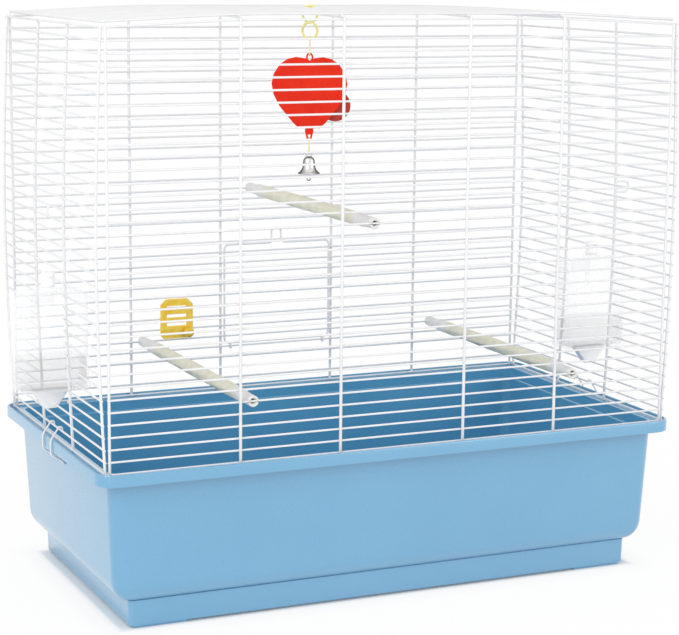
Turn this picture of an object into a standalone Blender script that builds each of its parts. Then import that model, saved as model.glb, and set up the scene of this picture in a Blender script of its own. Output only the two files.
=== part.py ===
"""White wire bird cage on a deep blue tray, with its door, swivel feeders, perches and hanging toy.

The frame stands on the table at z = 0. The length runs along X, the plain long panel faces -Y
and the long panel with the door faces +Y. All sizes are in metres.
"""
import math

import bpy
import bmesh
from mathutils import Matrix, Vector

X_AXIS = Vector((1, 0, 0))
Y_AXIS = Vector((0, 1, 0))
Z_AXIS = Vector((0, 0, 1))

# Clearances
SEAT_GAP = 0.0003
RUNNING_GAP = 0.0006
WELD_SINK = 0.0002
OVERRUN = 0.004

# Cage: the length and width over its long panels, and how far the end panels stand from them
PANEL_LENGTH = 0.580
CAGE_WIDTH = 0.310
END_STEP = 0.0035
END_INSET = 0.0025
END_SPAN = PANEL_LENGTH + 2 * END_STEP
END_WIDTH = CAGE_WIDTH - 2 * END_INSET

# Tray: a rim with a skirt, tapered walls, a round shoulder and a plinth on four pads
RIM_PAST_ENDS = 0.012
RIM_PAST_SIDES = 0.009
TRAY_LENGTH = PANEL_LENGTH + 2 * RIM_PAST_ENDS
TRAY_WIDTH = CAGE_WIDTH + 2 * RIM_PAST_SIDES
SEAT_HEIGHT = 0.152
TRAY_WALL = 0.0022
TRAY_CORNER = 0.018
corner_tightening_share = 0.35
RIM_LIP = 0.003
RIM_EDGE = 0.0008
RIM_SKIRT = 0.0085
RIM_SKIRT_WALL = 0.002
RIM_SHELF = 0.0115
RIM_THICKNESS = 0.0022
INNER_LEDGE_DROP = 0.012
INNER_LEDGE = 0.002
WALL_TAPER = 0.005
SHOULDER_REACH = 0.0165
SIDE_SHOULDER_REACH = 0.009
SHOULDER_HEIGHT = 0.020
PLINTH_HEIGHT = 0.026
PLINTH_TAPER = 0.001
PAD_HEIGHT = 0.0025
PAD_LENGTH = 0.050
PAD_WIDTH = 0.012
PAD_INSET = 0.006
CATCH_WIDTH = 0.016
CATCH_HEIGHT = 0.006
CATCH_REACH = 0.0045

# Wire grille: rows lie along the panels, uprights are welded on them, posts end them
ROW_WIRE = 0.0018
UPRIGHT_WIRE = 0.0026
POST_SIDE = 0.0024
POST_END = 0.0014
ROW_PITCH = 0.01134
ROW_COUNT = 36
END_BAY_WIDTH = 0.095
END_BOW = 0.0062
ROWS_PER_CHORD = 7
ARCH_RISE = 0.006
bay_shares = (0.285, 0.1115)

# Roof: long wires on cross ribs, arched along the length and cambered across it
ROOF_WIRE_COUNT = 25
ROOF_EDGE = 0.005
ROOF_WIRE_PITCH = (CAGE_WIDTH - 2 * ROOF_EDGE) / (ROOF_WIRE_COUNT - 1)
WIRES_PER_CHORD = 8
ROOF_CAMBER = 0.0014
RIB_WIRE = 0.0026

# Door in the middle bay of one long panel, hinged on a row and dropping outwards
DOOR_LOW_ROW = 4
DOOR_HIGH_ROW = 14
DOOR_SIDE_GAP = 0.0014
DOOR_EDGE_GAP = 0.0035
DOOR_FRAME_SIDE = 0.0022
DOOR_CORNER = 0.006
DOOR_EYE_WIRE = 0.0016
DOOR_EYE_INSET = 0.007
LATCH_HALF_WIDTH = 0.0055
LATCH_HEIGHT = 0.0155
LATCH_FORWARD = 0.0029
LATCH_SPREAD = 0.003

# Tray clips: bent wire on the second row of each end panel, sprung under a catch on the tray
CLIP_ROW = 1
CLIP_WIRE = 0.0016
CLIP_WIDTH = 0.027
CLIP_BEND = 0.004
CLIP_TUCK = 0.005
CLIP_EYE_STEPS = 4

# Perches: fluted rods with slimmer forked ends that grip a row of each long panel
PERCH_DIAMETER = 0.0145
PERCH_END_DIAMETER = 0.0108
PERCH_END_LENGTH = 0.026
PERCH_STEP = 0.003
PERCH_FLUTE = 0.0007
PERCH_FLUTES = 6
PERCH_PROUD = 0.004

# Feeders: clear boxes that swivel on a pin above and a pin below, half inside and half outside
FEEDER_LOW_ROW = 3
FEEDER_DEPTH = 0.070
FEEDER_WIDTH = 0.039
FEEDER_HEIGHT = 0.0905
FEEDER_CORNER = 0.007
FEEDER_WALL = 0.0015
FEEDER_FLANGE = 0.0018
FEEDER_FLANGE_HEIGHT = 0.005
FEEDER_RISE = 0.0155
WINDOW_MARGIN = 0.007
WINDOW_LENGTH = 0.033
WINDOW_HEIGHT = 0.035
WINDOW_DROP = 0.011
CUP_HEIGHT = 0.030
CUP_WALL = 0.0012
LID_THICKNESS = 0.003
LID_EDGE = 0.0012
KNOB_RADIUS = 0.009
KNOB_HEIGHT = 0.004
PIN_RADIUS = 0.002
PIN_LENGTH = 0.0025
PIN_SIDES = 8
LOWER_BEARING_TOP = 0.036
LOWER_BEARING_FOOT = 0.014
UPPER_BEARING_LENGTH = 0.022
UPPER_BEARING_CHAMFER = 0.004
BEARING_WIDTH = 0.010
BEARING_LIP = 0.0035
FEEDER_STACK = FEEDER_RISE + FEEDER_HEIGHT + SEAT_GAP + LID_THICKNESS + KNOB_HEIGHT + RUNNING_GAP
UPPER_BEARING_LEAST = PIN_LENGTH + RUNNING_GAP + UPPER_BEARING_CHAMFER
FEEDER_HIGH_ROW = FEEDER_LOW_ROW + math.ceil((FEEDER_STACK + UPPER_BEARING_LEAST) / ROW_PITCH)

# Finger loops welded to the near upright of each end panel's middle bay
LOOP_ROW = 19.9
LOOP_REACH = 0.014
LOOP_HEIGHT = 0.011
LOOP_WIRE = 0.0018

# Hanging toy: S hook, link, heart with a round disc behind it, link, bell and clapper
TOY_X = -0.0306
HOOK_TURN = math.radians(-50)
HEART_TURN = math.radians(-25)
HOOK_LOOP = 0.0081
HOOK_WIRE = 0.0025
LINK_WIRE = 0.0014
UPPER_LINK_LENGTH = 0.019
LOWER_LINK_LENGTH = 0.0155
LINK_HALF_WIDTH = 0.0026
HEART_EYE_HEIGHT = 0.0076
BELL_EYE_HEIGHT = 0.0056
EYE_WIDTH = 0.0056
EYE_WIRE = 0.0018
EYE_SINK = 0.0005
HEART_WIDTH = 0.075
HEART_HEIGHT = 0.070
HEART_THICKNESS = 0.006
HEART_EDGE = 0.001
STEM_LENGTH = 0.0125
STEM_HALF_WIDTH = 0.0034
DISC_RADIUS = 0.0155
DISC_THICKNESS = 0.003
DISC_RIGHT = 0.0252
DISC_DROP = 0.0478
DISC_SIDES = 16
BELL_RADIUS = 0.0113
BELL_HEIGHT = 0.019
BELL_WALL = 0.0008
BELL_SIDES = 12
CLAPPER_ROD = 0.0014
CLAPPER_BALL = 0.0022
CLAPPER_LENGTH = 0.023
LOOP_POINTS = 8
LINK_END_STEPS = 4
heart_shares = (
    (0.000, -0.055), (0.060, -0.018), (0.180, 0.000), (0.290, -0.028), (0.390, -0.100),
    (0.472, -0.235), (0.500, -0.375), (0.473, -0.525), (0.395, -0.690), (0.215, -0.924), (0.138, -1.000),
)
bell_shares = ((0.22, 0.00), (0.42, -0.12), (0.52, -0.40), (0.64, -0.72), (1.00, -1.00))

# Treat clip on the door panel: a slotted plate held by a round knob on a stud
PLATE_WIDTH = 0.036
PLATE_HEIGHT = 0.042
PLATE_THICKNESS = 0.003
PLATE_CHAMFER = 0.006
PLATE_SLOT_WIDTH = 0.022
PLATE_SLOT_HEIGHT = 0.0035
PLATE_SLOT_PITCH = 0.009
PLATE_X = -0.116
STUD_ROW = 5.75
STUD_INSET = 0.0065
STUD_RADIUS = 0.0016
TREAT_KNOB_RADIUS = 0.0063
TREAT_KNOB_LENGTH = 0.009
STUD_HEAD_RADIUS = 0.0045
STUD_HEAD = 0.002

PERCH_PLACES = (
    ("upper_perch", -0.0312, 19),
    ("lower_left_perch", -0.1525, 5),
    ("lower_right_perch", 0.186, 5),
)

# Sizes and heights that follow from the sizes above
ROW_RADIUS = ROW_WIRE / math.sqrt(3)
ROW_BACK = ROW_RADIUS / 2
PANEL_FOOT = SEAT_HEIGHT + SEAT_GAP
PANEL_HEIGHT = (ROW_COUNT - 1) * ROW_PITCH
TOP_ROW = PANEL_FOOT + POST_END + PANEL_HEIGHT
WELD_OFFSET = ROW_RADIUS + UPRIGHT_WIRE / 2 - WELD_SINK


def row_height(row):
    """Height of a row's axis; row 0 is the lowest."""
    return PANEL_FOOT + POST_END + row * ROW_PITCH


def chord_value(curve, position, step):
    """Reads a curve from straight chords between its values at every step."""
    first = math.floor(position / step)
    share = position / step - first
    return (1 - share) * curve(first * step) + share * curve((first + 1) * step)


def bow_curve(row):
    """Smooth outward bow of an end panel at a row."""
    return END_BOW * math.sin(math.pi * row / (ROW_COUNT - 1))


def end_bow(row):
    """Outward bow of an end panel at a row, on the chords of its uprights."""
    return chord_value(bow_curve, row, ROWS_PER_CHORD)


def camber_curve(wire):
    """Smooth rise of the roof across the cage at a long roof wire."""
    middle = (ROOF_WIRE_COUNT - 1) / 2
    return ROOF_CAMBER * (1 - ((wire - middle) / middle) ** 2)


def roof_camber(wire):
    """Rise of the roof across the cage at a long roof wire, on the chords of its ribs."""
    return chord_value(camber_curve, wire, WIRES_PER_CHORD)


def stations():
    """Places along the cage of posts and uprights, each with its rise under the arch."""
    half = PANEL_LENGTH / 2
    first, second = (PANEL_LENGTH * share for share in bay_shares)
    rise = ARCH_RISE
    return ((-half, 0), (-first, rise), (-second, rise), (second, rise), (first, rise), (half, 0))


def arch_bends():
    """The places along the cage where a wire under the arch starts, bends or ends."""
    return [place for place in stations() if abs(place[0]) != PANEL_LENGTH * bay_shares[1]]


def clear_scene():
    """Removes every object that the file opened with."""
    for item in list(bpy.data.objects):
        bpy.data.objects.remove(item, do_unlink=True)


def material(name, colour, roughness, metallic=0.0, transmission=0.0):
    """Principled material with the piece's own colour and finish."""
    made = bpy.data.materials.new(name)
    made.use_nodes = True
    shader = made.node_tree.nodes["Principled BSDF"]
    shader.inputs["Base Color"].default_value = (*colour, 1.0)
    shader.inputs["Roughness"].default_value = roughness
    shader.inputs["Metallic"].default_value = metallic
    shader.inputs["Transmission Weight"].default_value = transmission
    made.diffuse_color = (*colour, 1.0)
    return made


def make_object(name, mesh_data, finish=None, location=(0, 0, 0), parent=None):
    """Turns a bmesh into a named object at its place."""
    bmesh.ops.recalc_face_normals(mesh_data, faces=mesh_data.faces[:])
    mesh = bpy.data.meshes.new(name)
    mesh_data.to_mesh(mesh)
    mesh_data.free()
    made = bpy.data.objects.new(name, mesh)
    bpy.context.scene.collection.objects.link(made)
    made.location = location
    made.parent = parent
    if finish is not None:
        mesh.materials.append(finish)
    return made


def guide_object(name, mesh_data, parent):
    """Makes a piece that only shapes its parent and is no node itself."""
    made = make_object(name, mesh_data, parent=parent)
    made.hide_render = True
    made.display_type = "WIRE"
    return made


def boolean(target, tool, operation):
    """Adds an exact Boolean of the tool to the target."""
    modifier = target.modifiers.new(tool.name, "BOOLEAN")
    modifier.object = tool
    modifier.operation = operation
    modifier.solver = "EXACT"


def unite(target, mesh_data, label):
    """Welds more shapes onto an object."""
    boolean(target, guide_object(f"{target.name}_{label}", mesh_data, target), "UNION")


def cut(target, mesh_data, label):
    """Cuts shapes out of an object."""
    boolean(target, guide_object(f"{target.name}_{label}", mesh_data, target), "DIFFERENCE")


def smooth(target, angle=math.radians(40)):
    """Shades round pieces smooth and keeps their sharp edges."""
    target.data.shade_smooth()
    target.data.set_sharp_from_angle(angle=angle)


def skin_rings(mesh_data, rings, closed=False):
    """Joins successive rings of vertices with faces, and caps the ends of an open run."""
    pairs = list(zip(rings, rings[1:]))
    if closed:
        pairs.append((rings[-1], rings[0]))
    for low, high in pairs:
        for index in range(len(low)):
            following = (index + 1) % len(low)
            mesh_data.faces.new((low[index], low[following], high[following], high[index]))
    if not closed:
        mesh_data.faces.new(rings[0][::-1])
        mesh_data.faces.new(rings[-1])


def sweep(mesh_data, points, radius, facing, sides=4, turn=0.0, closed=False):
    """Sweeps a regular section along a path, mitred at each bend; a corner points along facing."""
    count = len(points)
    normal = facing.copy()
    rings = []
    for index, point in enumerate(points):
        has_before = closed or index > 0
        has_after = closed or index < count - 1
        arriving = (point - points[index - 1]).normalized() if has_before else None
        leaving = (points[(index + 1) % count] - point).normalized() if has_after else arriving
        arriving = leaving if arriving is None else arriving
        mitre = (arriving + leaving).normalized()
        normal = (normal - arriving * normal.dot(arriving)).normalized()
        across = arriving.cross(normal)
        ring = []
        for side in range(sides):
            angle = turn + 2 * math.pi * side / sides
            offset = radius * (normal * math.cos(angle) + across * math.sin(angle))
            offset -= arriving * (offset.dot(mitre) / arriving.dot(mitre))
            ring.append(mesh_data.verts.new(point + offset))
        rings.append(ring)
        normal = arriving.rotation_difference(leaving) @ normal
    skin_rings(mesh_data, rings, closed)


def row_wire(mesh_data, points, facing):
    """Three-sided row wire with one corner along facing, where the uprights are welded on."""
    sweep(mesh_data, points, ROW_RADIUS, facing, sides=3)


def wire(mesh_data, points, thickness, facing):
    """Four-sided wire whose corners, as far apart as its thickness, point along facing."""
    sweep(mesh_data, points, thickness / 2, facing)


def flat_wire(mesh_data, points, side, facing, closed=False):
    """Four-sided wire whose flat faces look along facing."""
    sweep(mesh_data, points, side / math.sqrt(2), facing, turn=math.pi / 4, closed=closed)


def rounded_rectangle(mesh_data, half_x, half_y, radius, height, steps):
    """Ring of vertices round a rectangle with round corners."""
    ring = []
    for quarter in range(4):
        sign_x = 1 if quarter in (0, 3) else -1
        sign_y = 1 if quarter in (0, 1) else -1
        for step in range(steps + 1):
            angle = math.pi / 2 * (quarter + step / steps)
            x = sign_x * (half_x - radius) + radius * math.cos(angle)
            y = sign_y * (half_y - radius) + radius * math.sin(angle)
            ring.append(mesh_data.verts.new((x, y, height)))
    return ring


def turned(mesh_data, profile, sides, axis=Z_AXIS):
    """Turns a profile of (radius, distance along the axis) about the axis; its ends are capped."""
    spin = Z_AXIS.rotation_difference(axis).to_matrix()
    rings = []
    for radius, along in profile:
        ring = []
        for side in range(sides):
            angle = 2 * math.pi * (side + 0.5) / sides
            ring.append(mesh_data.verts.new(spin @ Vector((radius * math.cos(angle), radius * math.sin(angle), along))))
        rings.append(ring)
    skin_rings(mesh_data, rings)


def box(mesh_data, centre, size):
    """Adds a box."""
    placed = Matrix.Translation(centre) @ Matrix.Diagonal((*size, 1.0))
    bmesh.ops.create_cube(mesh_data, size=1.0, matrix=placed)


def prism(mesh_data, outline, depth, facing):
    """Extrudes an outline both ways from its plane."""
    near = [mesh_data.verts.new(point - facing * depth / 2) for point in outline]
    far = [mesh_data.verts.new(point + facing * depth / 2) for point in outline]
    skin_rings(mesh_data, [near, far])


def loop_points(centre, half_width, half_height, right, up, count=LOOP_POINTS):
    """Points round an oval in the plane of two directions."""
    points = []
    for index in range(count):
        angle = math.pi / 2 + 2 * math.pi * index / count
        points.append(centre + right * half_width * math.cos(angle) + up * half_height * math.sin(angle))
    return points


def link_points(centre, half_width, half_height, right, up):
    """Points round a link with straight sides and round ends, in the plane of two directions."""
    points = []
    for end in (1, -1):
        for step in range(LINK_END_STEPS + 1):
            angle = math.pi * step / LINK_END_STEPS
            across = end * half_width * math.cos(angle)
            high = end * (half_height - half_width + half_width * math.sin(angle))
            points.append(centre + right * across + up * high)
    return points


def tray_levels():
    """End inset, side inset and height of each ring of the tray, from its floor over the rim to the plinth."""
    plinth_top = PAD_HEIGHT + PLINTH_HEIGHT
    wall_foot = plinth_top + SHOULDER_HEIGHT
    wall_inset = RIM_SKIRT_WALL + RIM_SHELF
    foot_inset = wall_inset + WALL_TAPER
    end_plinth = foot_inset + SHOULDER_REACH
    side_plinth = foot_inset + SIDE_SHOULDER_REACH
    shoulder = []
    for angle in (math.radians(0), math.radians(35), math.radians(70)):
        turn = 1 - math.cos(angle)
        height = wall_foot - SHOULDER_HEIGHT * math.sin(angle)
        shoulder.append((foot_inset + SHOULDER_REACH * turn, foot_inset + SIDE_SHOULDER_REACH * turn, height))
    plinth = [
        (end_plinth, side_plinth, plinth_top),
        (end_plinth + PLINTH_TAPER, side_plinth + PLINTH_TAPER, PAD_HEIGHT),
    ]
    inner = []
    for end_inset, side_inset, height in reversed(shoulder + plinth):
        lift = TRAY_WALL if height <= plinth_top else 0
        inner.append((end_inset + TRAY_WALL, side_inset + TRAY_WALL, height + lift))
    ledge = SEAT_HEIGHT - INNER_LEDGE_DROP
    lip_top = SEAT_HEIGHT + RIM_LIP
    skirt_foot = SEAT_HEIGHT - RIM_SKIRT
    under_seat = SEAT_HEIGHT - RIM_THICKNESS
    rim = (
        (wall_inset + TRAY_WALL + INNER_LEDGE, ledge), (wall_inset + TRAY_WALL, ledge),
        (wall_inset + TRAY_WALL, SEAT_HEIGHT), (RIM_SKIRT_WALL, SEAT_HEIGHT),
        (RIM_SKIRT_WALL, lip_top), (RIM_EDGE, lip_top), (0, lip_top - RIM_EDGE),
        (0, skirt_foot), (RIM_SKIRT_WALL, skirt_foot), (RIM_SKIRT_WALL, under_seat), (wall_inset, under_seat),
    )
    return inner + [(inset, inset, height) for inset, height in rim] + shoulder + plinth


def build_tray(finish):
    """Deep tray with its four pads and the two catches for the clips."""
    shell = bmesh.new()
    rings = []
    for end_inset, side_inset, height in tray_levels():
        half_x = TRAY_LENGTH / 2 - end_inset
        half_y = TRAY_WIDTH / 2 - side_inset
        radius = TRAY_CORNER - corner_tightening_share * end_inset
        rings.append(rounded_rectangle(shell, half_x, half_y, radius, height, steps=3))
    skin_rings(shell, rings)
    tray = make_object("tray", shell, finish)

    end_inset, side_inset, _ = tray_levels()[-1]
    pads = bmesh.new()
    for side_x in (-1, 1):
        for side_y in (-1, 1):
            x = side_x * (TRAY_LENGTH / 2 - end_inset - PAD_INSET - PAD_LENGTH / 2)
            y = side_y * (TRAY_WIDTH / 2 - side_inset - PAD_INSET - PAD_WIDTH / 2)
            top = PAD_HEIGHT + TRAY_WALL / 2
            box(pads, (x, y, top / 2), (PAD_LENGTH, PAD_WIDTH, top))
    unite(tray, pads, "pads")

    catches = bmesh.new()
    for side in (-1, 1):
        x = side * (catch_wall() + CATCH_REACH / 2 - TRAY_WALL / 2)
        z = clip_foot_height() + CLIP_WIRE / 2 + RUNNING_GAP + CATCH_HEIGHT / 2
        box(catches, (x, 0, z), (CATCH_REACH + TRAY_WALL, CATCH_WIDTH, CATCH_HEIGHT))
    unite(tray, catches, "catches")
    smooth(tray)


def clip_foot_height():
    """Height of the clips' lowest wire, below the rim's skirt and the catch."""
    return SEAT_HEIGHT - RIM_SKIRT - RUNNING_GAP - CATCH_HEIGHT - 2 * CLIP_WIRE - CLIP_BEND


def catch_wall():
    """Distance of the tray's end wall from the middle, at the catches."""
    wall_top = SEAT_HEIGHT - RIM_THICKNESS
    wall_foot = PAD_HEIGHT + PLINTH_HEIGHT + SHOULDER_HEIGHT
    share = (wall_top - clip_foot_height()) / (wall_top - wall_foot)
    return TRAY_LENGTH / 2 - RIM_SKIRT_WALL - RIM_SHELF - WALL_TAPER * share


def row_spans(row, half, opening, bay):
    """Stretches of a row, which stops at the bay where the panel has an opening."""
    low, high = opening
    if not low < row < high:
        return ((-half, half),)
    stop = bay - UPRIGHT_WIRE / 2
    return ((-half, -stop), (stop, half))


def build_long_panel(name, outward, opening, finish):
    """Flat long panel: rows, two corner posts and four uprights, under an arched top row."""
    half = PANEL_LENGTH / 2
    bay = PANEL_LENGTH * bay_shares[1]
    rows = bmesh.new()
    for row in range(ROW_COUNT - 1):
        for start, stop in row_spans(row, half, opening, bay):
            height = row_height(row)
            row_wire(rows, [Vector((start, 0, height)), Vector((stop, 0, height))], Y_AXIS * outward)
    top = [Vector((x, 0, TOP_ROW + rise)) for x, rise in arch_bends()]
    row_wire(rows, top, Y_AXIS * outward)
    panel = make_object(name, rows, finish, location=(0, outward * CAGE_WIDTH / 2, 0))

    uprights = bmesh.new()
    for x, rise in stations():
        low = Vector((x, 0, PANEL_FOOT))
        high = Vector((x, 0, TOP_ROW + rise + POST_END))
        if abs(x) == half:
            flat_wire(uprights, [low, high], POST_SIDE, Y_AXIS)
        else:
            weld = Y_AXIS * outward * WELD_OFFSET
            wire(uprights, [low + weld, high + weld], UPRIGHT_WIRE, Y_AXIS)
    unite(panel, uprights, "uprights")


def build_end_panel(name, side, finish):
    """Bowed end panel, open in its middle bay for the feeder, with its uprights inside the rows."""
    half = END_WIDTH / 2
    opening = (FEEDER_LOW_ROW, FEEDER_HIGH_ROW)
    rows = bmesh.new()
    for row in range(ROW_COUNT):
        for start, stop in row_spans(row, half, opening, END_BAY_WIDTH / 2):
            x = side * end_bow(row)
            height = row_height(row)
            row_wire(rows, [Vector((x, start, height)), Vector((x, stop, height))], X_AXIS * -side)
    panel = make_object(name, rows, finish, location=(side * END_SPAN / 2, 0, 0))

    uprights = bmesh.new()
    for y in (-half, half):
        flat_wire(uprights, end_upright_path(side, y, 0), POST_SIDE, Y_AXIS)
    for y in (-END_BAY_WIDTH / 2, END_BAY_WIDTH / 2):
        wire(uprights, end_upright_path(side, y, -WELD_OFFSET), UPRIGHT_WIRE, Y_AXIS)
    unite(panel, uprights, "uprights")
    unite(panel, finger_loop(side), "finger_loop")


def end_upright_path(side, y, outward):
    """Points up an end panel's upright, on the chords of its bow."""
    points = []
    for row in range(0, ROW_COUNT, ROWS_PER_CHORD):
        points.append(Vector((side * (end_bow(row) + outward), y, row_height(row))))
    points[0].z = PANEL_FOOT
    points[-1].z = TOP_ROW + POST_END
    return points


def finger_loop(side):
    """U-shaped loop that stands out from the near upright of the middle bay."""
    root = end_bow(LOOP_ROW) - WELD_OFFSET
    reach = root + UPRIGHT_WIRE / 2 + LOOP_REACH
    corner = LOOP_HEIGHT / 2
    path = [Vector((side * root, 0, -corner))]
    for angle in (math.radians(-90), math.radians(-45), 0, math.radians(45), math.radians(90)):
        path.append(Vector((side * (reach - corner + corner * math.cos(angle)), 0, corner * math.sin(angle))))
    path.append(Vector((side * root, 0, corner)))
    place = Vector((0, -END_BAY_WIDTH / 2, row_height(LOOP_ROW)))
    loop = bmesh.new()
    wire(loop, [point + place for point in path], LOOP_WIRE, Y_AXIS)
    return loop


def rib_weld():
    """Distance from a rib's axis up to the wires welded on it."""
    return ROW_RADIUS + RIB_WIRE / 2 - WELD_SINK


def roof_wire_height(rise, wire_index):
    """Height of a long roof wire's axis where the arch has risen so far."""
    seat = ROW_WIRE / 2 + SEAT_GAP + RIB_WIRE / 2 + rib_weld()
    camber = roof_camber(wire_index) if rise else 0
    return TOP_ROW + seat + rise + camber


def roof_wire_y(wire_index):
    """Place of a long roof wire across the cage."""
    return (wire_index - (ROOF_WIRE_COUNT - 1) / 2) * ROOF_WIRE_PITCH


def build_roof(finish):
    """Roof grille: its four ribs rest on the long panels' top rows and its wires lie on the ribs."""
    wires = bmesh.new()
    for index in range(ROOF_WIRE_COUNT):
        y = roof_wire_y(index)
        path = [Vector((x, y, roof_wire_height(rise, index))) for x, rise in arch_bends()]
        row_wire(wires, path, -Z_AXIS)
    roof = make_object("roof_panel", wires, finish)

    ribs = bmesh.new()
    half = CAGE_WIDTH / 2
    for x, rise in stations():
        if rise == 0:
            height = roof_wire_height(0, 0)
            reach = half - POST_SIDE / 2 - SEAT_GAP
            flat_wire(ribs, [Vector((x, -reach, height)), Vector((x, reach, height))], POST_SIDE, X_AXIS)
            continue
        path = []
        for index in range(0, ROOF_WIRE_COUNT, WIRES_PER_CHORD):
            path.append(Vector((x, roof_wire_y(index), roof_wire_height(rise, index) - rib_weld())))
        path.insert(0, Vector((x, -half, path[0].z)))
        path.append(Vector((x, half, path[-1].z)))
        wire(ribs, path, RIB_WIRE, X_AXIS)
    unite(roof, ribs, "ribs")


def build_door(finish):
    """Drop-down door: a frame with rows, two eyes round the hinge row and a sprung loop on top."""
    bay = PANEL_LENGTH * bay_shares[1]
    half = bay - UPRIGHT_WIRE / 2 - DOOR_SIDE_GAP - DOOR_FRAME_SIDE / 2
    low = DOOR_EDGE_GAP
    high = (DOOR_HIGH_ROW - DOOR_LOW_ROW) * ROW_PITCH - DOOR_EDGE_GAP
    frame = bmesh.new()
    flat_wire(frame, door_frame_path(half, low, high), DOOR_FRAME_SIDE, Y_AXIS, closed=True)
    place = (0, CAGE_WIDTH / 2, row_height(DOOR_LOW_ROW))
    door = make_object("door", frame, finish, location=place)

    rows = bmesh.new()
    for row in range(1, DOOR_HIGH_ROW - DOOR_LOW_ROW):
        height = row * ROW_PITCH
        row_wire(rows, [Vector((-half, 0, height)), Vector((half, 0, height))], Y_AXIS)
    unite(door, rows, "rows")

    eyes = bmesh.new()
    radius = ROW_RADIUS + DOOR_EYE_WIRE / 2 + RUNNING_GAP
    for x in (-half + DOOR_EYE_INSET, half - DOOR_EYE_INSET):
        centre = Vector((x, 0, 0))
        ring = loop_points(centre, radius, radius, Y_AXIS, Z_AXIS)
        sweep(eyes, ring, DOOR_EYE_WIRE / 2, X_AXIS, closed=True)
    unite(door, eyes, "eyes")


def door_frame_path(half, low, high):
    """Points round the door's frame, with the latch loop standing forward of the rows."""
    path = []
    corners = ((half, low, -90), (half, high, 0), (-half, high, 90), (-half, low, 180))
    for x, z, start in corners:
        centre_x = x - math.copysign(DOOR_CORNER, x)
        centre_z = z + DOOR_CORNER if z == low else z - DOOR_CORNER
        for angle in (math.radians(start), math.radians(start + 45), math.radians(start + 90)):
            across = centre_x + DOOR_CORNER * math.cos(angle)
            up = centre_z + DOOR_CORNER * math.sin(angle)
            path.append(Vector((across, 0, up)))
        if x > 0 and z == high:
            path.extend(latch_path(high))
    return path


def latch_path(high):
    """Points over the latch loop, from the right foot to the left one."""
    arc_centre = high + LATCH_HEIGHT - LATCH_HALF_WIDTH
    foot = LATCH_HALF_WIDTH + LATCH_SPREAD
    points = [Vector((foot, 0, high)), Vector((LATCH_HALF_WIDTH, LATCH_FORWARD, high + LATCH_SPREAD))]
    for angle in (0, math.radians(45), math.radians(90), math.radians(135), math.radians(180)):
        across = LATCH_HALF_WIDTH * math.cos(angle)
        up = arc_centre + LATCH_HALF_WIDTH * math.sin(angle)
        points.append(Vector((across, LATCH_FORWARD, up)))
    points.append(Vector((-LATCH_HALF_WIDTH, LATCH_FORWARD, high + LATCH_SPREAD)))
    points.append(Vector((-foot, 0, high)))
    return points


def clip_axis():
    """Distance of the clips' axis from the middle of the cage, and its height."""
    return END_SPAN / 2 + end_bow(CLIP_ROW), row_height(CLIP_ROW)


def clip_leg(side, y):
    """Points down one leg of a clip, from inside its eye to the bend at its foot."""
    axis_x, axis_z = clip_axis()
    eye = ROW_RADIUS + CLIP_WIRE / 2 + RUNNING_GAP
    outside = TRAY_LENGTH / 2 + RUNNING_GAP + CLIP_WIRE / 2 - axis_x
    tuck = catch_wall() + RUNNING_GAP + CLIP_WIRE / 2 - axis_x
    points = []
    for step in range(CLIP_EYE_STEPS + 1):
        angle = math.radians(200) - step * math.radians(200) / CLIP_EYE_STEPS
        points.append(Vector((side * eye * math.cos(angle), y, eye * math.sin(angle))))
    points.append(Vector((side * outside, y, SEAT_HEIGHT + RIM_LIP - axis_z)))
    points.append(Vector((side * outside, y, SEAT_HEIGHT - RIM_SKIRT - CLIP_WIRE - axis_z)))
    foot = clip_foot_height() + CLIP_BEND - axis_z
    points.append(Vector((side * (tuck + CLIP_TUCK / 2), y, foot)))
    return points, side * tuck


def build_clip(name, side, finish):
    """Bent wire clip that turns on a row of the end panel and springs under the tray's catch."""
    axis_x, axis_z = clip_axis()
    half = CLIP_WIDTH / 2
    down, tuck = clip_leg(side, half)
    up, _ = clip_leg(side, -half)
    foot = clip_foot_height() - axis_z
    bottom = [Vector((tuck, half - CLIP_BEND, foot)), Vector((tuck, CLIP_BEND - half, foot))]
    bent = bmesh.new()
    sweep(bent, down + bottom + up[::-1], CLIP_WIRE / 2, Y_AXIS)
    make_object(name, bent, finish, location=(side * axis_x, 0, axis_z))


def perch_ring(mesh_data, diameter, y):
    """Fluted ring of vertices round a perch."""
    ring = []
    for index in range(2 * PERCH_FLUTES):
        radius = diameter / 2 - (index % 2) * PERCH_FLUTE
        angle = math.pi * index / PERCH_FLUTES
        ring.append(mesh_data.verts.new((radius * math.cos(angle), y, radius * math.sin(angle))))
    return ring


def build_perch(name, x, row, finish):
    """Fluted perch with slimmer ends, each slotted for the row that it grips."""
    half = CAGE_WIDTH / 2 + PERCH_PROUD
    slim = half - PERCH_END_LENGTH
    thick = slim - PERCH_STEP
    places = ((-half, PERCH_END_DIAMETER), (-slim, PERCH_END_DIAMETER), (-thick, PERCH_DIAMETER))
    rod = bmesh.new()
    rings = [perch_ring(rod, diameter, y) for y, diameter in places]
    rings.extend(perch_ring(rod, diameter, -y) for y, diameter in reversed(places))
    skin_rings(rod, rings)
    perch = make_object(name, rod, finish, location=(x, 0, row_height(row)))

    slots = bmesh.new()
    inner = CAGE_WIDTH / 2 - ROW_BACK - SEAT_GAP
    depth = half + OVERRUN - inner
    for end in (-1, 1):
        centre = (0, end * (inner + depth / 2), 0)
        box(slots, centre, (PERCH_DIAMETER, depth, ROW_WIRE + 2 * SEAT_GAP))
    cut(perch, slots, "slots")


def feeder_axis():
    """Distance of the feeders' swivel axis from the middle of the cage."""
    return END_SPAN / 2 + END_BOW


def feeder_ring(mesh_data, inset, height):
    """Ring round a feeder at an inset from its outer wall."""
    radius = FEEDER_CORNER - inset
    return rounded_rectangle(
        mesh_data, FEEDER_DEPTH / 2 - inset, FEEDER_WIDTH / 2 - inset, radius, height, steps=2)


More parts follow.
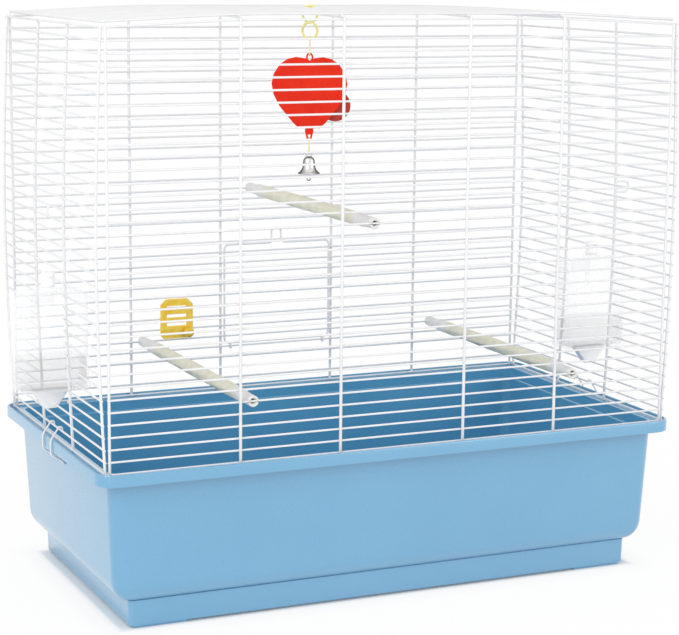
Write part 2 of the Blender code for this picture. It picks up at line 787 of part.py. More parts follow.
def build_feeder_body(name, side, pivot, finish):
    """Clear box with a flange at its foot, a window in each long wall and a pin below."""
    levels = (
        (FEEDER_WALL, FEEDER_WALL), (FEEDER_WALL, FEEDER_HEIGHT), (0, FEEDER_HEIGHT),
        (0, FEEDER_FLANGE_HEIGHT), (-FEEDER_FLANGE, FEEDER_FLANGE_HEIGHT), (-FEEDER_FLANGE, 0),
    )
    shell = bmesh.new()
    skin_rings(shell, [feeder_ring(shell, inset, height) for inset, height in levels])
    body = make_object(name, shell, finish, parent=pivot)

    windows = bmesh.new()
    x = -side * (FEEDER_DEPTH / 2 - WINDOW_MARGIN - WINDOW_LENGTH / 2)
    z = FEEDER_HEIGHT - WINDOW_DROP - WINDOW_HEIGHT / 2
    box(windows, (x, 0, z), (WINDOW_LENGTH, FEEDER_WIDTH + OVERRUN, WINDOW_HEIGHT))
    cut(body, windows, "windows")

    pin = bmesh.new()
    turned(pin, ((PIN_RADIUS, -PIN_LENGTH), (PIN_RADIUS, FEEDER_WALL / 2)), PIN_SIDES)
    unite(body, pin, "pin")
    smooth(body)


def build_feeder_cup(name, pivot, finish):
    """Seed cup that stands on the feeder's floor."""
    outside = FEEDER_WALL + RUNNING_GAP
    floor = FEEDER_WALL + SEAT_GAP
    levels = (
        (outside + CUP_WALL, floor + CUP_WALL), (outside + CUP_WALL, floor + CUP_HEIGHT),
        (outside, floor + CUP_HEIGHT), (outside, floor),
    )
    shell = bmesh.new()
    skin_rings(shell, [feeder_ring(shell, inset, height) for inset, height in levels])
    smooth(make_object(name, shell, finish, parent=pivot))


def build_feeder_lid(name, pivot, finish):
    """Lid with a round knob and the upper pin."""
    low = FEEDER_HEIGHT + SEAT_GAP
    high = low + LID_THICKNESS
    levels = ((0, low), (0, high - LID_EDGE), (LID_EDGE, high))
    plate = bmesh.new()
    skin_rings(plate, [feeder_ring(plate, inset, height) for inset, height in levels])
    lid = make_object(name, plate, finish, parent=pivot)

    knob = bmesh.new()
    top = high + KNOB_HEIGHT
    profile = (
        (KNOB_RADIUS, high - LID_THICKNESS / 2), (KNOB_RADIUS, top - LID_EDGE),
        (KNOB_RADIUS - LID_EDGE, top), (PIN_RADIUS, top), (PIN_RADIUS, top + PIN_LENGTH),
    )
    turned(knob, profile, PIN_SIDES)
    unite(lid, knob, "knob")
    smooth(lid)


def build_bearing(name, side, row, toward, face, outline, finish):
    """Bearing block that clips over a row and holds a feeder's pin; toward points at the feeder."""
    axis = feeder_axis()
    block = bmesh.new()
    prism(block, outline, BEARING_WIDTH, Y_AXIS)
    bearing = make_object(name, block, finish, location=(side * axis, 0, row_height(row)))

    row_x = side * (END_SPAN / 2 + end_bow(row) - axis)
    slot_width = 2 * (ROW_RADIUS + SEAT_GAP)
    reach = BEARING_LIP + OVERRUN
    slot = bmesh.new()
    centre = (row_x, 0, toward * (slot_width / 2 - (reach + slot_width / 2) / 2))
    box(slot, centre, (slot_width, BEARING_WIDTH + OVERRUN, reach + slot_width / 2))
    cut(bearing, slot, "row_slot")

    hole = bmesh.new()
    depth = PIN_LENGTH + RUNNING_GAP
    ends = (face - toward * depth, face + toward * OVERRUN)
    radius = PIN_RADIUS + RUNNING_GAP
    turned(hole, ((radius, min(ends)), (radius, max(ends))), PIN_SIDES)
    cut(bearing, hole, "pin_hole")


def lower_bearing_outline():
    """Side view of the lower bearing: a wedge that narrows downwards."""
    face = FEEDER_RISE - RUNNING_GAP
    lip = face - BEARING_LIP
    top = LOWER_BEARING_TOP / 2
    foot = LOWER_BEARING_FOOT / 2
    places = ((-top, face), (-top, lip), (-foot, -BEARING_LIP), (foot, -BEARING_LIP), (top, lip), (top, face))
    return [Vector((x, 0, z)) for x, z in places]


def upper_bearing_face():
    """Underside of the upper bearing, measured from its row."""
    return FEEDER_STACK - (FEEDER_HIGH_ROW - FEEDER_LOW_ROW) * ROW_PITCH


def upper_bearing_outline():
    """Side view of the upper bearing: a block with chamfered shoulders."""
    face = upper_bearing_face()
    half = UPPER_BEARING_LENGTH / 2
    narrow = half - UPPER_BEARING_CHAMFER
    top = BEARING_LIP
    shoulder = top - UPPER_BEARING_CHAMFER
    places = ((-half, face), (half, face), (half, shoulder), (narrow, top), (-narrow, top), (-half, shoulder))
    return [Vector((x, 0, z)) for x, z in places]


def build_feeder(label, side, clear, smoky, plastic):
    """One swivel feeder: body, cup and lid on the axis, and its two bearings on the grille."""
    pivot = bpy.data.objects.new(f"{label}_feeder_axis", None)
    bpy.context.scene.collection.objects.link(pivot)
    pivot.location = (side * feeder_axis(), 0, row_height(FEEDER_LOW_ROW) + FEEDER_RISE)
    build_feeder_body(f"{label}_feeder_body", side, pivot, clear)
    build_feeder_cup(f"{label}_feeder_cup", pivot, smoky)
    build_feeder_lid(f"{label}_feeder_lid", pivot, clear)
    lower_face = FEEDER_RISE - RUNNING_GAP
    build_bearing(
        f"{label}_lower_bearing", side, FEEDER_LOW_ROW, 1, lower_face, lower_bearing_outline(), plastic)
    build_bearing(
        f"{label}_upper_bearing", side, FEEDER_HIGH_ROW, -1, upper_bearing_face(),
        upper_bearing_outline(), plastic)


def toy_levels():
    """Heights of the toy's hinges and pieces, worked downwards from the roof wire."""
    middle = (ROOF_WIRE_COUNT - 1) / 2
    roof = roof_wire_height(ARCH_RISE, middle)
    hook_top = roof - (HOOK_LOOP - HOOK_WIRE / 2 - ROW_WIRE / 2 - SEAT_GAP)
    hook_foot = hook_top - 3 * HOOK_LOOP
    link_top = hook_foot + (HOOK_WIRE + LINK_WIRE) / 2 + RUNNING_GAP
    eye_top = link_top - UPPER_LINK_LENGTH + (LINK_WIRE + EYE_WIRE) / 2 + RUNNING_GAP
    notch = eye_top - HEART_EYE_HEIGHT + EYE_SINK
    heart_top = notch - heart_shares[0][1] * HEART_HEIGHT
    stem_foot = heart_top - HEART_HEIGHT + EYE_SINK - STEM_LENGTH
    lower_link_top = stem_foot + (EYE_WIRE + LINK_WIRE) / 2 + RUNNING_GAP
    bell_eye_top = lower_link_top - LOWER_LINK_LENGTH + (LINK_WIRE + EYE_WIRE) / 2 + RUNNING_GAP
    bell_top = bell_eye_top - BELL_EYE_HEIGHT + EYE_SINK
    return {
        "roof": roof, "hook_top": hook_top, "hook_foot": hook_foot, "link_top": link_top,
        "eye_top": eye_top, "heart_top": heart_top, "stem_foot": stem_foot,
        "lower_link_top": lower_link_top, "bell_eye_top": bell_eye_top, "bell_top": bell_top,
    }


def build_hook(levels, finish):
    """S hook whose upper loop hangs on the middle roof wire."""
    right = Vector((math.cos(HOOK_TURN), math.sin(HOOK_TURN), 0))
    facing = Vector((-math.sin(HOOK_TURN), math.cos(HOOK_TURN), 0))
    upper = Z_AXIS * (levels["hook_top"] - levels["roof"])
    lower = upper - Z_AXIS * 2 * HOOK_LOOP
    points = []
    for degrees in range(240, -90, -30):
        angle = math.radians(degrees)
        points.append(upper + HOOK_LOOP * (right * math.cos(angle) + Z_AXIS * math.sin(angle)))
    for degrees in range(90, 450, 30):
        angle = math.radians(degrees)
        points.append(lower + HOOK_LOOP * (right * math.cos(angle) + Z_AXIS * math.sin(angle)))
    bent = bmesh.new()
    sweep(bent, points, HOOK_WIRE / 2, facing, sides=5)
    smooth(make_object("toy_hook", bent, finish, location=(TOY_X, 0, levels["roof"])))


def build_link(name, top, length, pivot, finish):
    """Oval link that hangs edge on to the heart's plane."""
    facing = Vector((math.cos(HEART_TURN), math.sin(HEART_TURN), 0))
    along = Z_AXIS.cross(facing)
    centre = Z_AXIS * (top - length / 2 - pivot.location.z)
    ring = link_points(centre, LINK_HALF_WIDTH, length / 2, along, Z_AXIS)
    bent = bmesh.new()
    sweep(bent, ring, LINK_WIRE / 2, facing, closed=True)
    make_object(name, bent, finish, parent=pivot)


def toy_pivot(name, height):
    """Empty on a joint's axis below the hook."""
    pivot = bpy.data.objects.new(name, None)
    bpy.context.scene.collection.objects.link(pivot)
    pivot.location = (TOY_X, 0, height)
    return pivot


def build_heart(levels, pivot, finish):
    """Heart-shaped plate with an eye above and a stem loop below, and the disc behind it."""
    right = Vector((math.cos(HEART_TURN), math.sin(HEART_TURN), 0))
    facing = Vector((-math.sin(HEART_TURN), math.cos(HEART_TURN), 0))
    top = Z_AXIS * (levels["heart_top"] - pivot.location.z)
    half = [(HEART_WIDTH * across, HEART_HEIGHT * down) for across, down in heart_shares]
    mirrored = [(-across, down) for across, down in half[:0:-1]]
    outline = [top + right * across + Z_AXIS * down for across, down in half + mirrored]
    plate = bmesh.new()
    prism(plate, outline, HEART_THICKNESS, facing)
    heart = make_object("toy_heart", plate, finish, parent=pivot)
    bevel = heart.modifiers.new("edge", "BEVEL")
    bevel.width = HEART_EDGE
    bevel.segments = 1
    bevel.limit_method = "ANGLE"
    bevel.angle_limit = math.radians(60)

    loops = bmesh.new()
    eye_centre = Z_AXIS * (levels["eye_top"] - HEART_EYE_HEIGHT / 2 - pivot.location.z)
    eye = loop_points(eye_centre, EYE_WIDTH / 2, HEART_EYE_HEIGHT / 2, right, Z_AXIS)
    sweep(loops, eye, EYE_WIRE / 2, facing, closed=True)
    stem_centre = Z_AXIS * (levels["stem_foot"] + STEM_LENGTH / 2 - pivot.location.z)
    stem = link_points(stem_centre, STEM_HALF_WIDTH, STEM_LENGTH / 2, right, Z_AXIS)
    sweep(loops, stem, EYE_WIRE / 2, facing, closed=True)
    unite(heart, loops, "eyes")
    smooth(heart)

    disc = bmesh.new()
    turned(disc, ((DISC_RADIUS, 0), (DISC_RADIUS, DISC_THICKNESS)), DISC_SIDES, axis=facing)
    behind = facing * (HEART_THICKNESS / 2 + SEAT_GAP)
    place = top + right * DISC_RIGHT - Z_AXIS * DISC_DROP + behind
    smooth(make_object("toy_disc", disc, finish, location=place, parent=pivot))


def build_bell(levels, pivot, finish):
    """Flared bell with an eye on its crown."""
    top = levels["bell_top"] - pivot.location.z
    outer = [(BELL_RADIUS * across, top + BELL_HEIGHT * down) for across, down in bell_shares]
    inner = [(radius - BELL_WALL, height) for radius, height in outer[:0:-1]]
    crown = (outer[0][0] - BELL_WALL, top - BELL_WALL)
    shell = bmesh.new()
    turned(shell, [*outer, *inner, crown], BELL_SIDES)
    bell = make_object("toy_bell", shell, finish, parent=pivot)

    right = Vector((math.cos(HEART_TURN), math.sin(HEART_TURN), 0))
    facing = Vector((-math.sin(HEART_TURN), math.cos(HEART_TURN), 0))
    eye = bmesh.new()
    centre = Z_AXIS * (levels["bell_eye_top"] - BELL_EYE_HEIGHT / 2 - pivot.location.z)
    ring = loop_points(centre, EYE_WIDTH / 2, BELL_EYE_HEIGHT / 2, right, Z_AXIS)
    sweep(eye, ring, EYE_WIRE / 2, facing, closed=True)
    unite(bell, eye, "eye")
    smooth(bell)


def build_clapper(levels, finish):
    """Clapper that swings from under the bell's crown."""
    top = levels["bell_top"] - EYE_SINK - EYE_WIRE / 2 - SEAT_GAP
    rod = CLAPPER_ROD / 2
    ball = CLAPPER_BALL
    centre = -CLAPPER_LENGTH + ball
    profile = [(rod, 0), (rod, centre + ball * math.cos(math.radians(20)))]
    for degrees in (55, 90, 125, 155):
        angle = math.radians(degrees)
        profile.append((ball * math.sin(angle), centre + ball * math.cos(angle)))
    swung = bmesh.new()
    turned(swung, profile, PIN_SIDES)
    smooth(make_object("toy_clapper", swung, finish, location=(TOY_X, 0, top)))


def build_toy(yellow, red, silver):
    """Toy that hangs from the middle roof wire."""
    levels = toy_levels()
    build_hook(levels, yellow)
    heart_pivot = toy_pivot("toy_heart_axis", levels["hook_foot"])
    build_link("toy_upper_link", levels["link_top"], UPPER_LINK_LENGTH, heart_pivot, yellow)
    build_heart(levels, heart_pivot, red)
    bell_pivot = toy_pivot("toy_bell_axis", levels["stem_foot"])
    build_link("toy_lower_link", levels["lower_link_top"], LOWER_LINK_LENGTH, bell_pivot, yellow)
    build_bell(levels, bell_pivot, silver)
    build_clapper(levels, silver)


def build_treat_clip(finish):
    """Slotted plate inside the door panel and the knob whose stud passes between two rows."""
    stud_x = PLATE_WIDTH / 2 - STUD_INSET
    half_x = PLATE_WIDTH / 2
    low = -STUD_INSET
    high = PLATE_HEIGHT - STUD_INSET
    chamfer = PLATE_CHAMFER
    corner = STUD_INSET / 2
    places = (
        (-half_x + corner, low), (half_x - corner, low), (half_x, low + corner), (half_x, high - chamfer),
        (half_x - chamfer, high), (-half_x + chamfer, high), (-half_x, high - chamfer), (-half_x, low + corner),
    )
    inside = CAGE_WIDTH / 2 - ROW_BACK - SEAT_GAP
    place = (PLATE_X, inside - PLATE_THICKNESS / 2, row_height(STUD_ROW))
    body = bmesh.new()
    prism(body, [Vector((x, 0, z)) for x, z in places], PLATE_THICKNESS, Y_AXIS)
    plate = make_object("treat_clip_plate", body, finish, location=place)

    slots = bmesh.new()
    for index in range(3):
        z = high - PLATE_SLOT_PITCH * (index + 1)
        box(slots, (0, 0, z), (PLATE_SLOT_WIDTH, PLATE_THICKNESS + OVERRUN, PLATE_SLOT_HEIGHT))
    cut(plate, slots, "slots")

    hole = bmesh.new()
    radius = STUD_RADIUS + SEAT_GAP
    turned(hole, ((radius, -OVERRUN), (radius, OVERRUN)), PIN_SIDES, axis=Y_AXIS)
    for vertex in hole.verts:
        vertex.co.x += stud_x
    cut(plate, hole, "stud_hole")

    face = -PLATE_THICKNESS - SEAT_GAP
    outside = ROW_BACK + ROW_RADIUS + 2 * SEAT_GAP
    knob_shares = ((0.45, 1.0), (0.85, 0.8), (1.0, 0.45), (0.85, 0.12), (0.60, 0.0))
    profile = [
        (TREAT_KNOB_RADIUS * across, face - TREAT_KNOB_LENGTH * along) for across, along in knob_shares]
    profile.extend((
        (STUD_RADIUS, face), (STUD_RADIUS, outside), (STUD_HEAD_RADIUS, outside),
        (STUD_HEAD_RADIUS, outside + STUD_HEAD),
    ))
    knob = bmesh.new()
    turned(knob, profile, PIN_SIDES, axis=Y_AXIS)
    place = (PLATE_X + stud_x, inside, row_height(STUD_ROW))
    smooth(make_object("treat_clip_knob", knob, finish, location=place))


def build_cage():
    """Builds every piece."""
    clear_scene()
    white_wire = material("white_wire", (0.86, 0.87, 0.88), 0.35)
    blue = material("blue_plastic", (0.18, 0.55, 0.82), 0.40)
    cream = material("cream_plastic", (0.70, 0.67, 0.52), 0.50)
    clear = material("clear_plastic", (0.92, 0.94, 0.95), 0.08, transmission=0.9)
    smoky = material("smoky_plastic", (0.72, 0.76, 0.78), 0.15, transmission=0.7)
    lug = material("grey_plastic", (0.60, 0.63, 0.66), 0.35)
    yellow = material("yellow_plastic", (0.85, 0.70, 0.05), 0.35)
    gold = material("gold_plastic", (0.85, 0.52, 0.03), 0.35)
    red = material("red_plastic", (0.80, 0.02, 0.01), 0.25)
    silver = material("silver_metal", (0.75, 0.75, 0.75), 0.20, metallic=1.0)

    build_tray(blue)
    build_long_panel("plain_side_panel", -1, (0, 0), white_wire)
    build_long_panel("door_side_panel", 1, (DOOR_LOW_ROW, DOOR_HIGH_ROW), white_wire)
    build_end_panel("left_end_panel", -1, white_wire)
    build_end_panel("right_end_panel", 1, white_wire)
    build_roof(white_wire)
    build_door(white_wire)
    for label, side in (("left", -1), ("right", 1)):
        build_clip(f"{label}_tray_clip", side, white_wire)
        build_feeder(label, side, clear, smoky, lug)
    for name, x, row in PERCH_PLACES:
        build_perch(name, x, row, cream)
    build_toy(yellow, red, silver)
    build_treat_clip(gold)


build_cage()
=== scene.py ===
"""Dressed view of the white wire bird cage: stage, light, camera, finishes and the finer shapes."""
import math

import bmesh
import bpy
from mathutils import Matrix, Vector


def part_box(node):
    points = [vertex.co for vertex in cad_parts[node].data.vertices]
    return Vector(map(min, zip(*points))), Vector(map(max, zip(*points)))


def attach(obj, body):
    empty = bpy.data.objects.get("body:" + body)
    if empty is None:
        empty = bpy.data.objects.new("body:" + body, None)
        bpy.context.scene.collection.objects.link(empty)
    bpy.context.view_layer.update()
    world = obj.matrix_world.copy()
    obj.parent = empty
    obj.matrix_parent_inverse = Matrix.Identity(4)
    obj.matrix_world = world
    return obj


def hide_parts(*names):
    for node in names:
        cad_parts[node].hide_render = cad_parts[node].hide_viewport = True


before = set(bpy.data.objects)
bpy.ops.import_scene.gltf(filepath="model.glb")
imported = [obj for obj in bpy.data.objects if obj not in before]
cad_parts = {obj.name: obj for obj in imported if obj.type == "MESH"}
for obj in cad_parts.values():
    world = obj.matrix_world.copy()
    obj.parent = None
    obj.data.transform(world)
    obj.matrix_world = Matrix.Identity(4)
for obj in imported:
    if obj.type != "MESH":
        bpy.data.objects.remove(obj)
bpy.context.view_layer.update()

UP = Vector((0, 0, 1))
ALONG_Y = Vector((0, 1, 0))
WHITE = (1, 1, 1, 1)

# All lengths are in metres

# Grilles: radii of the wires, room for a wire's rounded tip, places of rows, posts and uprights,
# how far rows reach beyond the posts and lap into an open bay, and what hangs on the grilles
ROW = 0.00098
UPRIGHT = 0.00145
POST = 0.00135
DOOR_WIRE = 0.0011
EYE_WIRE = 0.0008
CLIP_WIRE = 0.00092
TIP_ROOM = 0.001
ROW_LIFT = 0.01134
LOWEST_ROW = 0.1537
ROWS = 36
PANEL_FOOT = 0.1523
PANEL_HALF = 0.290
PANEL_Y = 0.155
BAYS = (0.1653, 0.06467)
POSTS = (-PANEL_HALF, PANEL_HALF)
UPRIGHTS = (-BAYS[0], -BAYS[1], BAYS[1], BAYS[0])
LONG_TIP = 0.0010
ARCH = 0.006
ARCH_EASE = 0.030
DOORWAY_ROWS = (4, 14)
DOORWAY_LAP = 0.0020
DOOR_HALF = 0.06087
DOOR_GAP = 0.0035
DOOR_EYES = 0.05387
LATCH_AHEAD = 0.0029
LATCH_TALL = 0.0155
END_X = 0.2935
END_HALF = 0.1525
END_TIP = 0.0034
END_BAY = 0.0475
BOW = 0.0062
OPEN_BAY_ROWS = (3, 14)
OPEN_BAY_LAP = 0.0005
FINGER_LOOP_ROW = 19.9
FINGER_REACH = 0.014
FINGER_HALF = 0.0055

# Welds: step from the rows to the middle of the uprights, to a weld between them, and the half sizes
WELD_STEP = 0.00214
LONG_SPOT_STEP = 0.0008
SPOT_STEP = 0.0009
LONG_WELD = (0.0016, 0.0009, 0.0012)
LONG_POST_WELD = (0.0016, 0.0014, 0.0014)
END_WELD = (0.0009, 0.0016, 0.0012)
END_POST_WELD = (0.0014, 0.0016, 0.0014)
ROOF_WELD = (0.0016, 0.0014, 0.0010)
ROOF_POST_WELD = (0.0014, 0.0016, 0.0013)
DOOR_WELD = (0.0014, 0.0013, 0.0013)

# Eyes of the door and the clips, whose axis lies on the row of the solids: those are straight
# between every seventh row of the end grilles
EYE = 0.00244
CHORD_ROWS = 7
CLIP_HALF = 0.0135
CLIP_OUT = 0.3034
CLIP_TUCK = 0.2887

# Roof: height of its ends, and how its wires are spread across the cage
ROOF_LOW = 0.55524
ROOF_TIP = 0.0009
ROOF_WIRES = 25
MIDDLE_WIRE = 12
ROOF_PITCH = 0.0125
ROOF_CAMBER = 0.0014

# Tray: half sizes and corner of its rim, its wall, its shoulder, the height below which the inside is
# raised by the wall's thickness, its floor, its pads and its catches
TRAY_HALF = (0.302, 0.164)
TRAY_CORNER = 0.018
CORNER_TAPER = 0.35
TRAY_WALL = 0.0022
WALL_INSET = 0.0185
SHOULDER_REACH = (0.0165, 0.009)
SHOULDER_TOP = 0.0485
SHOULDER_DROP = 0.020
INNER_BEND = 0.03
FLOOR_EASE = 0.001
FLOOR_TOP = 0.0047
PAD_PLACE = (0.2348, 0.1250)
PAD_SIZE = (0.052, 0.0166, 0.0036)
CATCH_PLACE = (0.2874, 0.1364)
CATCH_SIZE = (0.0062, 0.016, 0.006)

# Perches: half length over which they twist, the twist there, where their ends turn pale, and the slots
PERCH_HALF = 0.159
PERCH_TWIST = math.radians(100)
PERCH_STEPS = 24
FLUTES = 6
PALE_FROM = 0.112
SLOT_PLACE = 0.1585
SLOT_SIZE = (0.020, 0.0090, 0.0025)

# Feeders: axis from the middle of the cage, pin under the box, outer wall, and the windows
FEEDER_AXIS = 0.2997
PIN = 0.0025
FEEDER_HALF = (0.035, 0.0195)
FEEDER_CORNER = 0.007
WINDOW_PLACE = (0.0115, 0.062)
WINDOW_HALF = (0.0165, 0.0175)

# Toy: place along the cage, ways that its hook and its heart face, and sizes of its wires and loops
TOY_X = -0.0306
HOOK_RIGHT = Vector((math.cos(math.radians(-50)), math.sin(math.radians(-50)), 0))
HEART_RIGHT = Vector((math.cos(math.radians(-25)), math.sin(math.radians(-25)), 0))
HEART_FACING = Vector((-HEART_RIGHT.y, HEART_RIGHT.x, 0))
HOOK_WIRE = 0.00125
HOOK_LOOP = 0.0081
LINK_WIRE = 0.0007
LINK_HALF = 0.0026
LOOP_WIRE = 0.0009
HEART_SIZE = (0.075, 0.070)
HEART_THICK = 0.0060
STEM_TALL = 0.0125
BELL_TALL = 0.0190
CLAPPER_BALL = 0.0022

# Stage: half size of the floor, half sizes of the plinth, and share of plain white by distance from that
STAGE_HALF = 6.0
PLINTH_HALF = (0.2722, 0.1347)
SHADE_STOPS = ((0.0, 0.08), (0.005, 0.80), (0.03, 0.95), (0.9, 1.0))

# Light: strength of the surround at the sides and overhead, and the point that the softboxes look at
SURROUND = (0.95, 0.72)
CAGE_MIDDLE = Vector((0, 0, 0.25))

# Camera of the photograph
CAMERA_POINT = Vector((-0.8214, -1.8183, 0.6103))
YAW = math.radians(24.427)
PITCH = math.radians(10.170)
ROLL = math.radians(0.573)
LENS = 105.98


def row_height(row):
    """Height of a row of the grille above the table."""
    return LOWEST_ROW + row * ROW_LIFT


def bow(row):
    """How far an end panel bows out at a row."""
    return BOW * math.sin(math.pi * row / (ROWS - 1))


# Finishes

def group_socket(group, name, kind, value=None, out=False):
    """Gives a node group one input or output."""
    direction = "OUTPUT" if out else "INPUT"
    socket = group.interface.new_socket(name=name, in_out=direction, socket_type=kind)
    if value is not None:
        socket.default_value = value


def add_node(tree, kind, values=None, **settings):
    """Adds a node to a tree, sets its properties and then the values of its inputs."""
    node = tree.nodes.new(kind)
    for name, value in settings.items():
        setattr(node, name, value)
    for name, value in (values or {}).items():
        node.inputs[name].default_value = value
    return node


def surface_group(name, stretch=(1, 1, 1)):
    """Group for a skin with cloudy colour, uneven gloss and a fine relief."""
    group = bpy.data.node_groups.new(name, "ShaderNodeTree")
    group_socket(group, "Place", "NodeSocketVector")
    group_socket(group, "Light colour", "NodeSocketColor", WHITE)
    group_socket(group, "Deep colour", "NodeSocketColor", WHITE)
    group_socket(group, "Cloud scale", "NodeSocketFloat", 20)
    group_socket(group, "Grain scale", "NodeSocketFloat", 900)
    group_socket(group, "Gloss low", "NodeSocketFloat", 0.3)
    group_socket(group, "Gloss high", "NodeSocketFloat", 0.4)
    group_socket(group, "Colour", "NodeSocketColor", out=True)
    group_socket(group, "Roughness", "NodeSocketFloat", out=True)
    group_socket(group, "Height", "NodeSocketFloat", out=True)
    start = add_node(group, "NodeGroupInput")
    end = add_node(group, "NodeGroupOutput")
    mapping = add_node(group, "ShaderNodeMapping", {"Scale": stretch})
    clouds = add_node(group, "ShaderNodeTexNoise", {"Detail": 3})
    grain = add_node(group, "ShaderNodeTexNoise", {"Detail": 2})
    spread = add_node(group, "ShaderNodeMapRange", {"From Min": 0.35, "From Max": 0.65})
    tint = add_node(group, "ShaderNodeMix", data_type="RGBA")
    gloss = add_node(group, "ShaderNodeMix", data_type="FLOAT")
    link = group.links.new
    link(start.outputs["Place"], mapping.inputs["Vector"])
    link(mapping.outputs["Vector"], clouds.inputs["Vector"])
    link(mapping.outputs["Vector"], grain.inputs["Vector"])
    link(start.outputs["Cloud scale"], clouds.inputs["Scale"])
    link(start.outputs["Grain scale"], grain.inputs["Scale"])
    link(clouds.outputs["Fac"], spread.inputs["Value"])
    link(spread.outputs["Result"], tint.inputs["Factor"])
    link(start.outputs["Light colour"], tint.inputs["A"])
    link(start.outputs["Deep colour"], tint.inputs["B"])
    link(grain.outputs["Fac"], gloss.inputs["Factor"])
    link(start.outputs["Gloss low"], gloss.inputs["A"])
    link(start.outputs["Gloss high"], gloss.inputs["B"])
    link(tint.outputs["Result"], end.inputs["Colour"])
    link(gloss.outputs["Result"], end.inputs["Roughness"])
    link(grain.outputs["Fac"], end.inputs["Height"])
    return group


GRAIN_DEPTH = 0.0002
MOULDED = surface_group("moulded_skin")
DRAWN = surface_group("streaked_skin", (1, 1, 0.12))


def finish(name, group, light, deep, cloud, grain, gloss, relief=0.0, **settings):
    """Makes one finish from a skin group; the settings go straight on the shader."""
    made = bpy.data.materials.new(name)
    made.use_nodes = True
    tree = made.node_tree
    shader = tree.nodes["Principled BSDF"]
    place = add_node(tree, "ShaderNodeTexCoord")
    skin = add_node(
        tree, "ShaderNodeGroup",
        {"Light colour": (*light, 1), "Deep colour": (*deep, 1), "Cloud scale": cloud,
         "Grain scale": grain, "Gloss low": gloss[0], "Gloss high": gloss[1]},
        node_tree=group)
    tree.links.new(place.outputs["Object"], skin.inputs["Place"])
    tree.links.new(skin.outputs["Colour"], shader.inputs["Base Color"])
    tree.links.new(skin.outputs["Roughness"], shader.inputs["Roughness"])
    if relief:
        bump = add_node(tree, "ShaderNodeBump", {"Strength": relief, "Distance": GRAIN_DEPTH})
        tree.links.new(skin.outputs["Height"], bump.inputs["Height"])
        tree.links.new(bump.outputs["Normal"], shader.inputs["Normal"])
    for socket, value in settings.items():
        shader.inputs[socket.replace("_", " ")].default_value = value
    return made


FINISHES = {
    "white_wire": finish(
        "white_coated_wire", MOULDED, (0.86, 0.86, 0.868), (0.82, 0.82, 0.828), 60, 1500, (0.28, 0.42),
        0.20),
    "blue_plastic": finish(
        "blue_moulded_tray", MOULDED, (0.104, 0.368, 0.598), (0.094, 0.352, 0.580), 9, 700, (0.24, 0.34),
        0.05, Coat_Weight=1.0, Coat_Roughness=0.22, Coat_IOR=2.0),
    "cream_plastic": finish(
        "cream_perch", DRAWN, (0.79, 0.775, 0.645), (0.715, 0.70, 0.555), 90, 900, (0.45, 0.60), 0.20),
    # The clear feeder and the smoky cup glow faintly through Emission_Strength: painted light, standing in
    # for the light that clear plastic carries through itself
    "clear_plastic": finish(
        "clear_feeder_painted_glow", MOULDED, (0.985, 0.985, 0.985), (0.965, 0.97, 0.97), 30, 300, (0.05, 0.12),
        Emission_Strength=0.12),
    "smoky_plastic": finish(
        "smoky_cup_painted_glow", MOULDED, (0.98, 0.982, 0.985), (0.96, 0.965, 0.97), 40, 400, (0.16, 0.26),
        Emission_Strength=0.12),
    "grey_plastic": finish(
        "pale_bearing", MOULDED, (0.97, 0.97, 0.97), (0.94, 0.94, 0.945), 60, 800, (0.22, 0.34), 0.05,
        Coat_Weight=0.3),
    "yellow_plastic": finish(
        "yellow_hook", MOULDED, (0.90, 0.84, 0.33), (0.84, 0.76, 0.22), 120, 900, (0.25, 0.35), 0.10,
        Coat_Weight=0.2),
    "gold_plastic": finish(
        "gold_treat_clip", MOULDED, (1.0, 0.73, 0.08), (0.985, 0.60, 0.03), 150, 900, (0.28, 0.38), 0.10,
        Coat_Weight=0.2),
    "red_plastic": finish(
        "red_heart", MOULDED, (0.84, 0.032, 0.008), (0.76, 0.022, 0.006), 45, 800, (0.24, 0.32), 0.06,
        Specular_IOR_Level=0.15),
    "silver_metal": finish(
        "silver_bell", DRAWN, (0.86, 0.85, 0.84), (0.74, 0.73, 0.72), 200, 1200, (0.10, 0.18), 0.10,
        Metallic=1.0),
}
PERCH_END = finish(
    "white_perch_end", MOULDED, (0.80, 0.80, 0.78), (0.73, 0.73, 0.72), 90, 900, (0.35, 0.48), 0.15)
# Darker copy of the red plastic for the disc behind the heart: painted shade, as the disc lies in the heart's
# shade
RED_IN_PAINTED_SHADE = finish(
    "red_disc_painted_shade", MOULDED, (0.50, 0.045, 0.030), (0.42, 0.035, 0.025), 45, 800, (0.24, 0.32), 0.06,
    Specular_IOR_Level=0.25)
GOLD_KNOB = finish(
    "gold_knob", MOULDED, (0.93, 0.64, 0.03), (0.84, 0.52, 0.02), 150, 900, (0.26, 0.36), 0.10,
    Coat_Weight=0.3)


def paint_edge_shade(made, shade, start, stop, cover=None):
    """Paints shade into a finish's colour where its surface turns away, and sets how much a clear one covers
    there.
    """
    tree = made.node_tree
    shader = tree.nodes["Principled BSDF"]
    colour = shader.inputs["Base Color"].links[0].from_socket
    facing = add_node(tree, "ShaderNodeLayerWeight", {"Blend": 0.5})
    spread = add_node(tree, "ShaderNodeMapRange", {"From Min": start, "From Max": stop})
    mixed = add_node(tree, "ShaderNodeMix", {"B": (*shade, 1)}, data_type="RGBA")
    tree.links.new(facing.outputs["Facing"], spread.inputs["Value"])
    tree.links.new(spread.outputs["Result"], mixed.inputs["Factor"])
    tree.links.new(colour, mixed.inputs["A"])
    tree.links.new(mixed.outputs["Result"], shader.inputs["Base Color"])
    if cover:
        covering = add_node(tree, "ShaderNodeMapRange", {"To Min": cover[0], "To Max": cover[1]})
        tree.links.new(spread.outputs["Result"], covering.inputs["Value"])
        tree.links.new(covering.outputs["Result"], shader.inputs["Alpha"])


